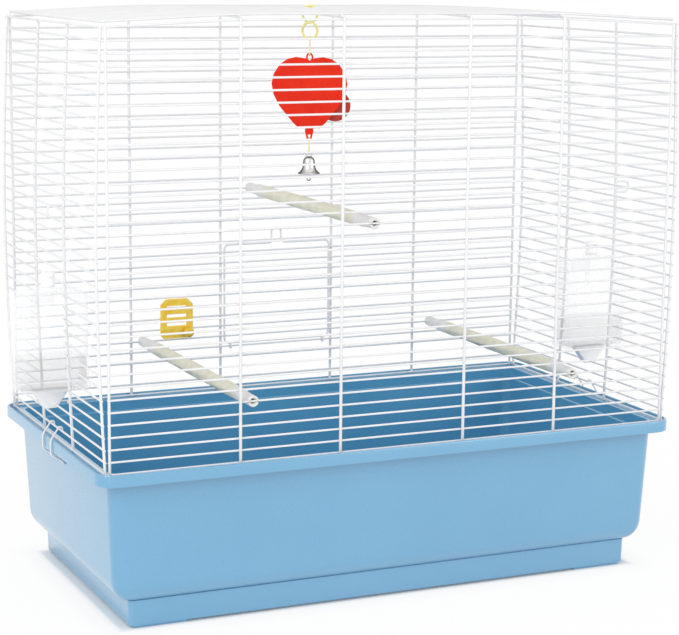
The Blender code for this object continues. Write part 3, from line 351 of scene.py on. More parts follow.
# Painted shade: the bell darkens towards its turned-away edges in place of the darker reflections there, and
# the clear plastics get a pale grey painted shade at their edges
paint_edge_shade(FINISHES["silver_metal"], (0.045, 0.042, 0.040), 0.18, 0.55)
for plastic, cover_range in (("clear_plastic", (0.15, 0.38)), ("smoky_plastic", (0.04, 0.14))):
    paint_edge_shade(FINISHES[plastic], (0.93, 0.935, 0.94), 0.35, 0.95, cover_range)


# Shaping

def edges_of(verts):
    """Edges that run between the given vertices, each once and in a fixed order."""
    held = set(verts)
    found = {}
    for vert in verts:
        for edge in vert.link_edges:
            if edge.other_vert(vert) in held:
                found[edge] = True
    return list(found)


def next_loop(shape, edges):
    """Extrudes an open loop of edges once, and gives the vertices and edges of the new loop."""
    grown = bmesh.ops.extrude_edge_only(shape, edges=edges)["geom"]
    verts = [item for item in grown if isinstance(item, bmesh.types.BMVert)]
    edges = [item for item in grown if isinstance(item, bmesh.types.BMEdge) and item.is_boundary]
    return verts, edges


def thicken(shape, faces, way):
    """Extrudes faces by a vector into a plate."""
    grown = bmesh.ops.extrude_face_region(shape, geom=faces)["geom"]
    moved = [item for item in grown if isinstance(item, bmesh.types.BMVert)]
    bmesh.ops.translate(shape, verts=moved, vec=way)


def soft_block(shape, centre, size, rounding, segments):
    """Adds a block with rounded edges."""
    matrix = Matrix.Translation(centre) @ Matrix.Diagonal((*size, 1))
    block = bmesh.ops.create_cube(shape, size=1.0, matrix=matrix)
    bmesh.ops.bevel(
        shape, geom=edges_of(block["verts"]), offset=rounding, segments=segments, profile=0.5,
        affect="EDGES", material=-1)


def station(point, turn, size):
    """Matrix that puts a unit section at a point of a path."""
    return Matrix.Translation(point) @ turn.to_matrix().to_4x4() @ Matrix.Scale(size, 4)


TIP_REACH = 0.75
TIP_SIZE = 0.55


def draw_wire(shape, path, radius, sides=8, closed=False):
    """Draws round wire along a path: one section, extruded and turned from point to point."""
    stations = [(point, radius) for point in path]
    if not closed:
        first = (path[0] - path[1]).normalized()
        last = (path[-1] - path[-2]).normalized()
        stations.insert(0, (path[0] + first * radius * TIP_REACH, radius * TIP_SIZE))
        stations.append((path[-1] + last * radius * TIP_REACH, radius * TIP_SIZE))
    count = len(stations)
    turn = None
    for index, (point, size) in enumerate(stations):
        if closed:
            ahead = stations[(index + 1) % count][0] - stations[index - 1][0]
        else:
            ahead = stations[min(index + 1, count - 1)][0] - stations[max(index - 1, 0)][0]
        ahead.normalize()
        if turn is None:
            turn = UP.rotation_difference(ahead)
            section = station(point, turn, size)
            made = bmesh.ops.create_circle(shape, segments=sides, radius=1.0, matrix=section)
            edges = edges_of(made["verts"])
            first_edges = edges
        else:
            turn = before.rotation_difference(ahead) @ turn
            following = station(point, turn, size)
            verts, edges = next_loop(shape, edges)
            bmesh.ops.transform(shape, matrix=following @ section.inverted(), verts=verts)
            section = following
        before = ahead.copy()
    if closed:
        bmesh.ops.bridge_loops(shape, edges=first_edges + edges)
    else:
        bmesh.ops.contextual_create(shape, geom=first_edges)
        bmesh.ops.contextual_create(shape, geom=edges)


LONGEST_EASE = 0.45


def eased(path, reach, steps, closed=False):
    """Rounds the corners of a path, as a wire bender would."""
    if closed:
        result = []
        corners = range(len(path))
    else:
        result = [path[0]]
        corners = range(1, len(path) - 1)
    for index in corners:
        corner = path[index]
        back = path[index - 1] - corner
        ahead = path[(index + 1) % len(path)] - corner
        start = corner + back.normalized() * min(reach, back.length * LONGEST_EASE)
        stop = corner + ahead.normalized() * min(reach, ahead.length * LONGEST_EASE)
        for step in range(steps + 1):
            share = step / steps
            result.append(start * (1 - share) ** 2 + corner * 2 * share * (1 - share) + stop * share ** 2)
    if not closed:
        result.append(path[-1])
    return result


def oval(centre, across, wide, tall, steps):
    """Points of a closed upright ring."""
    points = []
    for step in range(steps):
        angle = math.tau * step / steps
        points.append(centre + across * wide * math.cos(angle) + UP * tall * math.sin(angle))
    return points


def long_ring(centre, across, half_height, turn, widths):
    """Points of a closed upright ring with straight sides; its top and its foot have a half width each."""
    points = []
    for end, width in zip((1, -1), widths):
        for step in range(9):
            angle = math.pi * step / 8
            rise = end * (half_height - turn + turn * math.sin(angle))
            points.append(centre + across * end * width * math.cos(angle) + UP * rise)
    return points


def weld(shape, place, size):
    """Adds the small pool of metal where two wires are welded together."""
    matrix = Matrix.Translation(place) @ Matrix.Diagonal((*size, 1))
    bmesh.ops.create_uvsphere(shape, u_segments=6, v_segments=4, radius=1.0, matrix=matrix)


def rounded_wall(shape, levels, centre=(0, 0), steps=8):
    """Wall round a rectangle with round corners: one loop, extruded from level to level and closed."""
    half_x, half_y, radius, height = levels[0]
    matrix = Matrix.Translation((*centre, height)) @ Matrix.Diagonal((half_x, half_y, 1, 1))
    made = bmesh.ops.create_grid(shape, x_segments=1, y_segments=1, size=1.0, matrix=matrix)
    rounding = bmesh.ops.bevel(
        shape, geom=made["verts"], offset=radius, offset_type="OFFSET", segments=steps, profile=0.5,
        affect="VERTICES", material=-1)
    face = rounding["verts"][0].link_faces[0]
    edges = face.edges[:]
    for wide, deep, corner, lift in levels[1:]:
        verts, edges = next_loop(shape, edges)
        for vert in verts:
            sign_x = math.copysign(1, vert.co.x - centre[0])
            sign_y = math.copysign(1, vert.co.y - centre[1])
            lean_x = (vert.co.x - centre[0] - sign_x * (half_x - radius)) / radius
            lean_y = (vert.co.y - centre[1] - sign_y * (half_y - radius)) / radius
            vert.co.x = centre[0] + sign_x * (wide - corner) + corner * lean_x
            vert.co.y = centre[1] + sign_y * (deep - corner) + corner * lean_y
            vert.co.z = lift
        half_x, half_y, radius = wide, deep, corner
    bmesh.ops.contextual_create(shape, geom=edges)


def turned(shape, profile, place, sides=32, axis=UP):
    """Spins a profile of (radius, distance) once about an axis through a place."""
    lean = UP.rotation_difference(axis).to_matrix()
    verts = [shape.verts.new(place + lean @ Vector((radius, 0, along))) for radius, along in profile]
    edges = [shape.edges.new(pair) for pair in zip(verts, verts[1:])]
    bmesh.ops.spin(
        shape, geom=verts + edges, cent=place, axis=axis, angle=math.tau, steps=sides, use_merge=True)
    bmesh.ops.remove_doubles(shape, verts=shape.verts[:], dist=0.000005)


def placed(name, shape):
    """Turns a shape into an object of the scene."""
    mesh = bpy.data.meshes.new(name)
    shape.to_mesh(mesh)
    shape.free()
    made = bpy.data.objects.new(name, mesh)
    bpy.context.scene.collection.objects.link(made)
    return made


def finished(name, shape, slot, body, stands_for=(), angle=40):
    """Turns a shape into a smooth piece with its finish, on the body that carries it."""
    bmesh.ops.recalc_face_normals(shape, faces=shape.faces[:])
    piece = placed(name, shape)
    piece.data.materials.append(FINISHES[slot])
    piece.data.shade_smooth()
    piece.data.set_sharp_from_angle(angle=math.radians(angle))
    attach(piece, body)
    if stands_for:
        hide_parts(*stands_for)
    return piece


def carve(piece, shape):
    """Cuts a shape out of a piece."""
    bmesh.ops.recalc_face_normals(shape, faces=shape.faces[:])
    cutter = placed(piece.name + "_cutter", shape)
    cutter.hide_render = True
    cutter.display_type = "WIRE"
    cut = piece.modifiers.new("cut", "BOOLEAN")
    cut.object = cutter
    cut.operation = "DIFFERENCE"
    cut.solver = "EXACT"


def soften(piece, width):
    """Rounds the sharp edges of a piece a little."""
    edge = piece.modifiers.new("soft_edge", "BEVEL")
    edge.width = width
    edge.segments = 2
    edge.limit_method = "ANGLE"
    edge.angle_limit = math.radians(35)


def refined(node, slot, body, width):
    """Copy of a CAD node's shape with its facets joined and its edges rounded."""
    shape = bmesh.new()
    shape.from_mesh(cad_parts[node].data)
    bmesh.ops.remove_doubles(shape, verts=shape.verts[:], dist=0.00001)
    bmesh.ops.dissolve_limit(
        shape, angle_limit=math.radians(1), verts=shape.verts[:], edges=shape.edges[:], delimit={"NORMAL"})
    piece = finished(node + "_dressed", shape, slot, body, (node,))
    soften(piece, width)
    return piece


# Tray

def dress_tray():
    """Deep tray with a lipped rim, tapered walls, a full round shoulder, a plinth, pads and catches."""
    # Each level of the wall: inset from the rim at the ends and at the sides, then height
    end_reach, side_reach = SHOULDER_REACH
    shoulder = []
    for degrees in range(0, 91, 10):
        turn = 1 - math.cos(math.radians(degrees))
        height = SHOULDER_TOP - SHOULDER_DROP * math.sin(math.radians(degrees))
        shoulder.append((WALL_INSET + end_reach * turn, WALL_INSET + side_reach * turn, height))
    groove = [(0.0352, 0.0277, 0.0284), (0.0364, 0.0289, 0.0282), (0.0365, 0.0290, 0.0274),
              (0.0353, 0.0278, 0.0272)]
    plinth = [(0.0352, 0.0277, 0.0278), (0.0354, 0.0279, 0.0262), (0.0359, 0.0284, 0.0034),
              (0.0363, 0.0288, 0.0026), (0.0372, 0.0297, 0.0025)]
    inside = []
    for end, side, height in reversed(shoulder + plinth[:3]):
        lift = TRAY_WALL if height < INNER_BEND else 0
        inside.append((end + TRAY_WALL, side + TRAY_WALL, height + lift))
    end, side = inside[0][:2]
    inside[0] = (end + FLOOR_EASE, side + FLOOR_EASE, FLOOR_TOP)
    rim = [(0.0177, 0.1395), (0.0161, 0.1400), (0.0157, 0.1404), (0.0157, 0.1515), (0.0152, 0.1520),
           (0.0024, 0.1520), (0.0020, 0.1523), (0.0020, 0.1546), (0.0017, 0.1550), (0.0008, 0.1550),
           (0.0002, 0.1547), (0.0, 0.1541), (0.0, 0.1440), (0.0004, 0.1435), (0.0016, 0.1435),
           (0.0020, 0.1439), (0.0020, 0.1494), (0.0024, 0.1498), (0.0132, 0.1498), (0.0136, 0.1494)]
    profile = inside + [(inset, inset, height) for inset, height in rim] + shoulder + groove + plinth[1:]
    half_x, half_y = TRAY_HALF
    levels = [(half_x - end, half_y - side, TRAY_CORNER - CORNER_TAPER * end, height)
              for end, side, height in profile]
    shape = bmesh.new()
    rounded_wall(shape, levels)
    for side in (-1, 1):
        for deep in (-1, 1):
            centre = (side * PAD_PLACE[0], deep * PAD_PLACE[1], PAD_SIZE[2] / 2)
            soft_block(shape, centre, PAD_SIZE, 0.0008, 2)
    finished("blue_tray", shape, "blue_plastic", "cage", ("tray",), angle=30)
    catches = bmesh.new()
    for side in (-1, 1):
        soft_block(catches, (side * CATCH_PLACE[0], 0, CATCH_PLACE[1]), CATCH_SIZE, 0.0009, 3)
    finished("tray_catches", catches, "blue_plastic", "cage")


# Wire panels

def dress_long_panel(node, outward, opening=(0, 0)):
    """One long grille: its rows, the two corner posts, four uprights and every weld."""
    shape = bmesh.new()
    y = outward * PANEL_Y
    front = y + outward * WELD_STEP
    tip = PANEL_HALF + LONG_TIP
    for row in range(ROWS - 1):
        z = row_height(row)
        spans = [(-tip, tip)]
        if opening[0] < row < opening[1]:
            spans = [(-tip, DOORWAY_LAP - BAYS[1]), (BAYS[1] - DOORWAY_LAP, tip)]
        for start, stop in spans:
            draw_wire(shape, [Vector((start, y, z)), Vector((stop, y, z))], ROW)
    foot = PANEL_FOOT + TIP_ROOM
    top = row_height(ROWS - 1)
    arch = [Vector((-tip, y, top)), Vector((-BAYS[0], y, top + ARCH)),
            Vector((BAYS[0], y, top + ARCH)), Vector((tip, y, top))]
    draw_wire(shape, eased(arch, ARCH_EASE, 8), ROW)
    for x in POSTS:
        draw_wire(shape, [Vector((x, y, foot)), Vector((x, y, top + TIP_ROOM))], POST, 12)
    for x in UPRIGHTS:
        path = [Vector((x, front, foot)), Vector((x, front, top + ARCH + TIP_ROOM))]
        draw_wire(shape, path, UPRIGHT, 12)
    for row in range(ROWS):
        z = row_height(row)
        lift = ARCH if row == ROWS - 1 else 0
        for x in UPRIGHTS:
            weld(shape, Vector((x, y + outward * LONG_SPOT_STEP, z + lift)), LONG_WELD)
        for x in POSTS:
            weld(shape, Vector((x, y, z)), LONG_POST_WELD)
    finished(node + "_wires", shape, "white_wire", "cage", (node,), angle=60)


def dress_end_panel(node, side):
    """One bowed end grille, open in its middle bay, with its finger loop."""
    shape = bmesh.new()
    tip = END_HALF + END_TIP
    for row in range(ROWS):
        z = row_height(row)
        x = side * (END_X + bow(row))
        spans = [(-tip, tip)]
        if OPEN_BAY_ROWS[0] < row < OPEN_BAY_ROWS[1]:
            spans = [(-tip, OPEN_BAY_LAP - END_BAY), (END_BAY - OPEN_BAY_LAP, tip)]
        for start, stop in spans:
            draw_wire(shape, [Vector((x, start, z)), Vector((x, stop, z))], ROW)
        for y in (-END_HALF, END_HALF):
            weld(shape, Vector((x, y, z)), END_POST_WELD)
        for y in (-END_BAY, END_BAY):
            weld(shape, Vector((x - side * SPOT_STEP, y, z)), END_WELD)
    for y, inset, radius in ((-END_HALF, 0, POST), (END_HALF, 0, POST),
                             (-END_BAY, WELD_STEP, UPRIGHT), (END_BAY, WELD_STEP, UPRIGHT)):
        path = [Vector((side * (END_X + bow(row) - inset), y, row_height(row))) for row in range(ROWS)]
        path[0].z = PANEL_FOOT + TIP_ROOM
        draw_wire(shape, path, radius, 12)
    root = END_X + bow(FINGER_LOOP_ROW) - WELD_STEP
    reach = root + UPRIGHT + FINGER_REACH
    z = row_height(FINGER_LOOP_ROW)
    corners = ((root, -FINGER_HALF), (reach, -FINGER_HALF), (reach, FINGER_HALF), (root, FINGER_HALF))
    loop = [Vector((side * x, -END_BAY, z + rise)) for x, rise in corners]
    draw_wire(shape, eased(loop, FINGER_HALF, 8), ROW)
    finished(node + "_wires", shape, "white_wire", "cage", (node,), angle=60)


def roof_height(index):
    """Height of a roof wire between the middle ribs, by its place across the cage."""
    return ROOF_LOW + (ARCH + ROOF_CAMBER * (1 - ((index - MIDDLE_WIRE) / MIDDLE_WIRE) ** 2))


def dress_roof():
    """Roof grille: long wires laid over cross ribs, rising in the middle of the cage."""
    shape = bmesh.new()
    tip = PANEL_HALF + ROOF_TIP
    for index in range(ROOF_WIRES):
        y = (index - MIDDLE_WIRE) * ROOF_PITCH
        high = roof_height(index)
        path = [Vector((-tip, y, ROOF_LOW)), Vector((-BAYS[0], y, high)),
                Vector((BAYS[0], y, high)), Vector((tip, y, ROOF_LOW))]
        draw_wire(shape, eased(path, ARCH_EASE, 8), ROW)
        for x in UPRIGHTS:
            weld(shape, Vector((x, y, high - SPOT_STEP)), ROOF_WELD)
        for x in POSTS:
            weld(shape, Vector((x, y, ROOF_LOW)), ROOF_POST_WELD)
    rib_end = ROOF_LOW + ARCH - WELD_STEP
    for x in UPRIGHTS:
        path = [Vector((x, -PANEL_Y, rib_end))]
        for index in range(0, ROOF_WIRES, 3):
            path.append(Vector((x, (index - MIDDLE_WIRE) * ROOF_PITCH, roof_height(index) - WELD_STEP)))
        path.append(Vector((x, PANEL_Y, rib_end)))
        draw_wire(shape, path, UPRIGHT, 12)
    for x in POSTS:
        draw_wire(shape, [Vector((x, -END_HALF, ROOF_LOW)), Vector((x, END_HALF, ROOF_LOW))], POST, 12)
    finished("roof_wires", shape, "white_wire", "cage", ("roof_panel",), angle=60)


def dress_door():
    """Drop-down door: bent frame with its latch loop, nine rows and the two hinge eyes."""
    shape = bmesh.new()
    first, last = DOORWAY_ROWS
    hinge = row_height(first)
    low = hinge + DOOR_GAP
    high = hinge + (last - first) * ROW_LIFT - DOOR_GAP
    y = PANEL_Y
    ahead = y + LATCH_AHEAD
    top = high + LATCH_TALL
    right = [(DOOR_HALF, y, low), (DOOR_HALF, y, high), (0.0095, y, high),
             (0.0062, y + 0.001, high + 0.001), (0.0055, ahead, high + 0.0045), (0.0055, ahead, top)]
    left = [(-x, deep, z) for x, deep, z in right[::-1]]
    bends = eased([Vector(corner) for corner in right + left], 0.0055, 6, closed=True)
    draw_wire(shape, bends, DOOR_WIRE, 10, closed=True)
    for row in range(first + 1, last):
        z = row_height(row)
        draw_wire(shape, [Vector((-DOOR_HALF, y, z)), Vector((DOOR_HALF, y, z))], ROW)
        for x in (-DOOR_HALF, DOOR_HALF):
            weld(shape, Vector((x, y, z)), DOOR_WELD)
    for x in (-DOOR_EYES, DOOR_EYES):
        draw_wire(shape, oval(Vector((x, y, hinge)), ALONG_Y, EYE, EYE, 16), EYE_WIRE, closed=True)
    finished("door_wires", shape, "white_wire", "door", ("door",), angle=60)


def dress_clip(node, side):
    """Bent wire clip: an eye on the end grille, two legs down the tray's wall and a sprung foot."""
    axis_x = END_X + bow(CHORD_ROWS) / CHORD_ROWS
    axis_z = row_height(1)
    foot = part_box(node)[0].z + 0.0008
    legs = []
    for y in (CLIP_HALF, -CLIP_HALF):
        curl = []
        for step in range(13):
            angle = math.radians(215 - step * 215 / 12)
            x = axis_x + EYE * math.cos(angle)
            curl.append(Vector((side * x, y, axis_z + EYE * math.sin(angle))))
        bent = [curl[-1], Vector((side * CLIP_OUT, y, 0.1552)), Vector((side * CLIP_OUT, y, 0.1412)),
                Vector((side * (CLIP_TUCK + 0.0035), y, foot + 0.0040)),
                Vector((side * CLIP_TUCK, y * 0.75, foot))]
        legs.append(curl[:-1] + eased(bent, 0.0035, 5))
    shape = bmesh.new()
    draw_wire(shape, legs[0] + legs[1][::-1], CLIP_WIRE)
    finished(node + "_wire", shape, "white_wire", node, (node,), angle=60)


# Perches

def dress_perch(node, x, row):
    """Fluted perch with a slow twist, pale hollow ends and a slot at each end for the grille."""
    # Each place along the rod: metres from the middle, then radius and depth of the flutes in millimetres
    places = [(-0.1480, 3.2, 0), (-0.1568, 3.2, 0), (-0.1573, 3.6, 0), (-0.1574, 4.8, 0),
              (-0.1567, 5.3, 0), (-0.1400, 5.4, 0), (-0.1330, 5.5, 0), (-0.1305, 6.4, 0.5)]
    other_end = [(-y, radius, flute) for y, radius, flute in places[::-1]]
    for step in range(PERCH_STEPS + 1):
        share = step / PERCH_STEPS
        places.append((-0.128 + 0.256 * share, 6.5 + 0.25 * math.sin(math.pi * share), 0.5))
    places += other_end
    z = row_height(row)
    y, radius = places[0][:2]
    shape = bmesh.new()
    matrix = Matrix.Translation((x, y, z)) @ Matrix.Rotation(math.pi / 2, 4, "X")
    made = bmesh.ops.create_circle(shape, segments=36, radius=radius / 1000, matrix=matrix)
    edges = edges_of(made["verts"])
    bmesh.ops.contextual_create(shape, geom=edges)
    before = 0
    for y, radius, flute in places[1:]:
        verts, edges = next_loop(shape, edges)
        twist = PERCH_TWIST * (y / PERCH_HALF)
        for vert in verts:
            angle = math.atan2(vert.co.z - z, vert.co.x - x) - before
            reach = (radius - flute * (0.5 - 0.5 * math.cos(FLUTES * angle))) / 1000
            vert.co = (x + reach * math.cos(angle + twist), y, z + reach * math.sin(angle + twist))
        before = twist
    bmesh.ops.contextual_create(shape, geom=edges)
    perch = finished(node + "_rod", shape, "cream_plastic", "cage", (node,), angle=45)
    perch.data.materials.append(PERCH_END)
    for face in perch.data.polygons:
        if abs(face.center.y) > PALE_FROM:
            face.material_index = 1
    slots = bmesh.new()
    for end in (-1, 1):
        matrix = Matrix.Translation((x, end * SLOT_PLACE, z)) @ Matrix.Diagonal((*SLOT_SIZE, 1))
        bmesh.ops.create_cube(slots, size=1.0, matrix=matrix)
    carve(perch, slots)


# Feeders

def feeder_wall(shape, axis, low, levels):
    """Wall of a feeder, given as insets from its outer wall and heights above its floor."""
    half_x, half_y = FEEDER_HALF
    sizes = [(half_x - inset, half_y - inset, FEEDER_CORNER - inset, low + height)
             for inset, height in levels]
    rounded_wall(shape, sizes, (axis, 0), 6)


def dress_feeder(label, side):
    """Clear swivel feeder: walls with windows, a raised tab on each side, its pin, its cup and its lid."""
    body = f"{label}_feeder"
    axis = side * FEEDER_AXIS
    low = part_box(f"{label}_feeder_body")[0].z + PIN
    shape = bmesh.new()
    levels = (
        (0.0015, 0.0015), (0.0015, 0.0903), (0.0012, 0.0905), (0.0003, 0.0905), (0, 0.0902), (0, 0.0056),
        (-0.0004, 0.0051), (-0.0016, 0.0050), (-0.0018, 0.0047), (-0.0018, 0.0003), (-0.0015, 0),
    )
    feeder_wall(shape, axis, low, levels)
    walls = finished(
        f"{label}_feeder_walls", shape, "clear_plastic", body, (f"{label}_feeder_body",), angle=30)
    windows = bmesh.new()
    rings = []
    for y in (-0.023, 0.023):
        matrix = Matrix.Translation((axis - side * WINDOW_PLACE[0], y, low + WINDOW_PLACE[1]))
        matrix = matrix @ Matrix.Rotation(math.pi / 2, 4, "X") @ Matrix.Diagonal((*WINDOW_HALF, 1, 1))
        made = bmesh.ops.create_grid(windows, x_segments=1, y_segments=1, size=1.0, matrix=matrix)
        bmesh.ops.bevel(
            windows, geom=made["verts"], offset=0.004, offset_type="OFFSET", segments=4, profile=0.5,
            affect="VERTICES", material=-1)
        face = [item for item in windows.faces if all(abs(vert.co.y - y) < 1e-6 for vert in item.verts)][0]
        rings.append(face.edges[:])
        bmesh.ops.delete(windows, geom=[face], context="FACES_ONLY")
    bmesh.ops.bridge_loops(windows, edges=rings[0] + rings[1])
    for ring in rings:
        bmesh.ops.contextual_create(windows, geom=ring)
    carve(walls, windows)

    tabs = bmesh.new()
    outline = ((-0.0115, 0.0895), (0.0115, 0.0895), (0.0115, 0.0620), (0.0, 0.0575), (-0.0115, 0.0620))
    for deep in (-1, 1):
        verts = [tabs.verts.new((axis + x, deep * 0.0200, low + z)) for x, z in outline]
        thicken(tabs, [tabs.faces.new(verts)], (0, deep * 0.0010, 0))
    pin = ((0.0, -PIN), (0.0020, -PIN), (0.0020, 0.0005), (0.0, 0.0005))
    turned(tabs, pin, Vector((axis, 0, low)), 16)
    tab = finished(f"{label}_feeder_tabs", tabs, "clear_plastic", body, angle=30)
    soften(tab, 0.0003)

    cup = bmesh.new()
    levels = (
        (0.0033, 0.0033), (0.0033, 0.0312), (0.0030, 0.0316), (0.0024, 0.0316), (0.0021, 0.0312),
        (0.0021, 0.0024), (0.0027, 0.0018),
    )
    feeder_wall(cup, axis, low, levels)
    finished(f"{label}_feeder_seed_cup", cup, "smoky_plastic", body, (f"{label}_feeder_cup",), angle=30)

    lid = bmesh.new()
    levels = ((0.0003, 0.0908), (0, 0.0911), (0, 0.0925), (0.0006, 0.0934), (0.0020, 0.0938))
    feeder_wall(lid, axis, low, levels)
    boss = (
        (0.0, 0.0930), (0.0090, 0.0930), (0.0090, 0.0966), (0.0086, 0.0974), (0.0078, 0.0978),
        (0.0030, 0.0978), (0.0020, 0.0980), (0.0020, 0.0999), (0.0016, 0.1003), (0.0, 0.1003),
    )
    turned(lid, boss, Vector((axis, 0, low)), 32)
    finished(f"{label}_feeder_cover", lid, "clear_plastic", body, (f"{label}_feeder_lid",), angle=30)


def dress_bearings(label, side):
    """Lower wedge and upper knob that hold the feeder's pins on rows of the end grille."""
    axis = side * FEEDER_AXIS
    low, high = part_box(f"{label}_lower_bearing")
    wedge = bmesh.new()
    levels = [
        (0.0062, 0.0040, 0.0020, low.z), (0.0070, 0.0047, 0.0022, low.z + 0.0008),
        (0.0162, 0.0049, 0.0022, high.z - 0.0042), (0.0176, 0.0050, 0.0022, high.z - 0.0032),
        (0.0180, 0.0050, 0.0022, high.z - 0.0006), (0.0176, 0.0047, 0.0020, high.z),
    ]
    rounded_wall(wedge, levels, (axis, 0), 4)
    finished(f"{label}_lower_lug", wedge, "grey_plastic", "cage", (f"{label}_lower_bearing",), angle=30)
    low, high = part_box(f"{label}_upper_bearing")
    tall = high.z - low.z
    knob = bmesh.new()
    profile = (
        (0.0, 0.0), (0.0060, 0.0), (0.0066, 0.0006), (0.0070, 0.0030), (0.0066, 0.0052),
        (0.0060, 0.0062), (0.0062, tall - 0.0055), (0.0068, tall - 0.0040), (0.0066, tall - 0.0014),
        (0.0056, tall - 0.0003), (0.0, tall),
    )
    turned(knob, profile, Vector((axis, 0, low.z)), 28)
    finished(f"{label}_upper_lug", knob, "grey_plastic", "cage", (f"{label}_upper_bearing",), angle=40)


# Toy

def dress_hook():
    """S hook of plastic wire, its upper loop over the middle roof wire."""
    upper = Vector((TOY_X, 0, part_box("toy_hook")[1].z - HOOK_WIRE - HOOK_LOOP))
    lower = upper - UP * 2 * HOOK_LOOP
    path = []
    for centre, bends in ((upper, range(240, -90, -12)), (lower, range(90, 424, 12))):
        for degrees in bends:
            angle = math.radians(degrees)
            path.append(centre + HOOK_LOOP * (HOOK_RIGHT * math.cos(angle) + UP * math.sin(angle)))
    shape = bmesh.new()
    draw_wire(shape, path, HOOK_WIRE, 12)
    finished("yellow_s_hook", shape, "yellow_plastic", "toy_hook", ("toy_hook",), angle=60)


def dress_link(node, piece):
    """Wire link with straight sides and round ends, edge on to the heart."""
    low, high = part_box(node)
    half_height = (high.z - low.z) / 2 - LINK_WIRE
    ring = long_ring((low + high) / 2, HEART_FACING, half_height, LINK_HALF, (LINK_HALF, LINK_HALF))
    shape = bmesh.new()
    draw_wire(shape, ring, LINK_WIRE, closed=True)
    finished(piece, shape, "yellow_plastic", node, (node,), angle=60)


def dress_heart():
    """Glossy heart with a full soft edge, its eye, its stem loop and the disc behind it."""
    low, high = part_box("toy_heart")
    wide, tall = HEART_SIZE
    stem_foot = low.z + LOOP_WIRE
    centre = Vector((TOY_X, 0, stem_foot + STEM_TALL - 0.0005 + tall))
    # Right half of the outline from the notch to the tip, in shares of the heart's size
    half = ((0.000, -0.055), (0.060, -0.018), (0.180, 0.000), (0.290, -0.028), (0.390, -0.100),
            (0.472, -0.235), (0.500, -0.375), (0.473, -0.525), (0.395, -0.690), (0.215, -0.924),
            (0.138, -1.000))
    outline = [(wide * x, tall * z) for x, z in half]
    outline += [(-x, z) for x, z in outline[:0:-1]]
    shape = bmesh.new()
    verts = [shape.verts.new(centre + HEART_RIGHT * x + UP * z - HEART_FACING * HEART_THICK / 2)
             for x, z in outline]
    front = shape.faces.new(verts)
    bmesh.ops.subdivide_edges(shape, edges=front.edges[:], cuts=3, smooth=0.9, smooth_falloff="LINEAR")
    thicken(shape, shape.faces[:], HEART_FACING * HEART_THICK)
    rims = [edge for edge in shape.edges if len(edge.link_faces) == 2
            and any(len(face.verts) > 8 for face in edge.link_faces)]
    bmesh.ops.bevel(shape, geom=rims, offset=0.0016, segments=5, profile=0.5, affect="EDGES", material=-1)
    finished("red_heart_plate", shape, "red_plastic", "toy_heart", ("toy_heart",), angle=50)

    loops = bmesh.new()
    eye = Vector((TOY_X, 0, high.z - LOOP_WIRE - 0.0038))
    draw_wire(loops, oval(eye, HEART_RIGHT, 0.0028, 0.0038, 20), LOOP_WIRE, 10, closed=True)
    stem = Vector((TOY_X, 0, stem_foot + STEM_TALL / 2))
    ring = long_ring(stem, HEART_RIGHT, STEM_TALL / 2, 0.0034, (0.0034, 0.0019))
    draw_wire(loops, ring, 0.0010, 10, closed=True)
    web = [loops.verts.new(Vector((TOY_X, 0, stem_foot + z)) + HEART_RIGHT * x - HEART_FACING * 0.0010)
           for x, z in ((0.0044, 0.0128), (0.0024, 0.0056), (-0.0024, 0.0056), (-0.0044, 0.0128))]
    thicken(loops, [loops.faces.new(web)], HEART_FACING * 0.0020)
    finished("red_heart_loops", loops, "red_plastic", "toy_heart", angle=50)

    shape = bmesh.new()
    place = centre + HEART_RIGHT * 0.0252 - UP * 0.0478 + HEART_FACING * 0.0033
    profile = ((0.0, 0.0), (0.0150, 0.0), (0.0155, 0.0005), (0.0155, 0.0025), (0.0150, 0.0030), (0.0, 0.0030))
    turned(shape, profile, place, 48, HEART_FACING)
    disc = finished("red_disc", shape, "red_plastic", "toy_heart", ("toy_disc",), angle=40)
    # The disc wears the red with painted shade
    disc.data.materials[0] = RED_IN_PAINTED_SHADE


def dress_bell():
    """Flared bell with a rolled rim and its eye."""
    crown = Vector((TOY_X, 0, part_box("toy_bell")[0].z + BELL_TALL))
    outer = [(0.0, 0.0), (0.0022, -0.0001), (0.0039, -0.0008), (0.0051, -0.0021), (0.0057, -0.0040),
             (0.0060, -0.0065), (0.0062, -0.0090), (0.0067, -0.0112), (0.0078, -0.0132),
             (0.0094, -0.0150), (0.0110, -0.0163)]
    rim = [(0.0113, -0.0167), (0.0112, -0.0169), (0.0108, -0.0168)]
    inner = [(radius - 0.0007, height - 0.0004) for radius, height in outer[:1:-1]] + [(0.0, -0.0010)]
    shape = bmesh.new()
    turned(shape, [*outer, *rim, *inner], crown, 40)
    eye = oval(crown + UP * 0.0023, HEART_RIGHT, 0.0028, 0.0028, 16)
    draw_wire(shape, eye, EYE_WIRE, closed=True)
    finished("silver_bell", shape, "silver_metal", "toy_bell", ("toy_bell",), angle=40)


def dress_clapper():
    """Clapper that hangs under the crown of the bell, a ball on a short stem."""
    low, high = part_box("toy_clapper")
    centre = low.z + CLAPPER_BALL - high.z
    profile = [(0.0, 0.0), (0.0005, 0.0), (0.0007, -0.0002), (0.0007, centre + 0.0021)]
    for degrees in range(25, 180, 15):
        angle = math.radians(degrees)
        profile.append((CLAPPER_BALL * math.sin(angle), centre + CLAPPER_BALL * math.cos(angle)))
    profile[-1] = (0.0, centre - CLAPPER_BALL)
    shape = bmesh.new()
    turned(shape, profile, Vector((TOY_X, 0, high.z)), 24)
    finished("silver_clapper", shape, "silver_metal", "toy_clapper", ("toy_clapper",), angle=40)


# Stage, light and camera

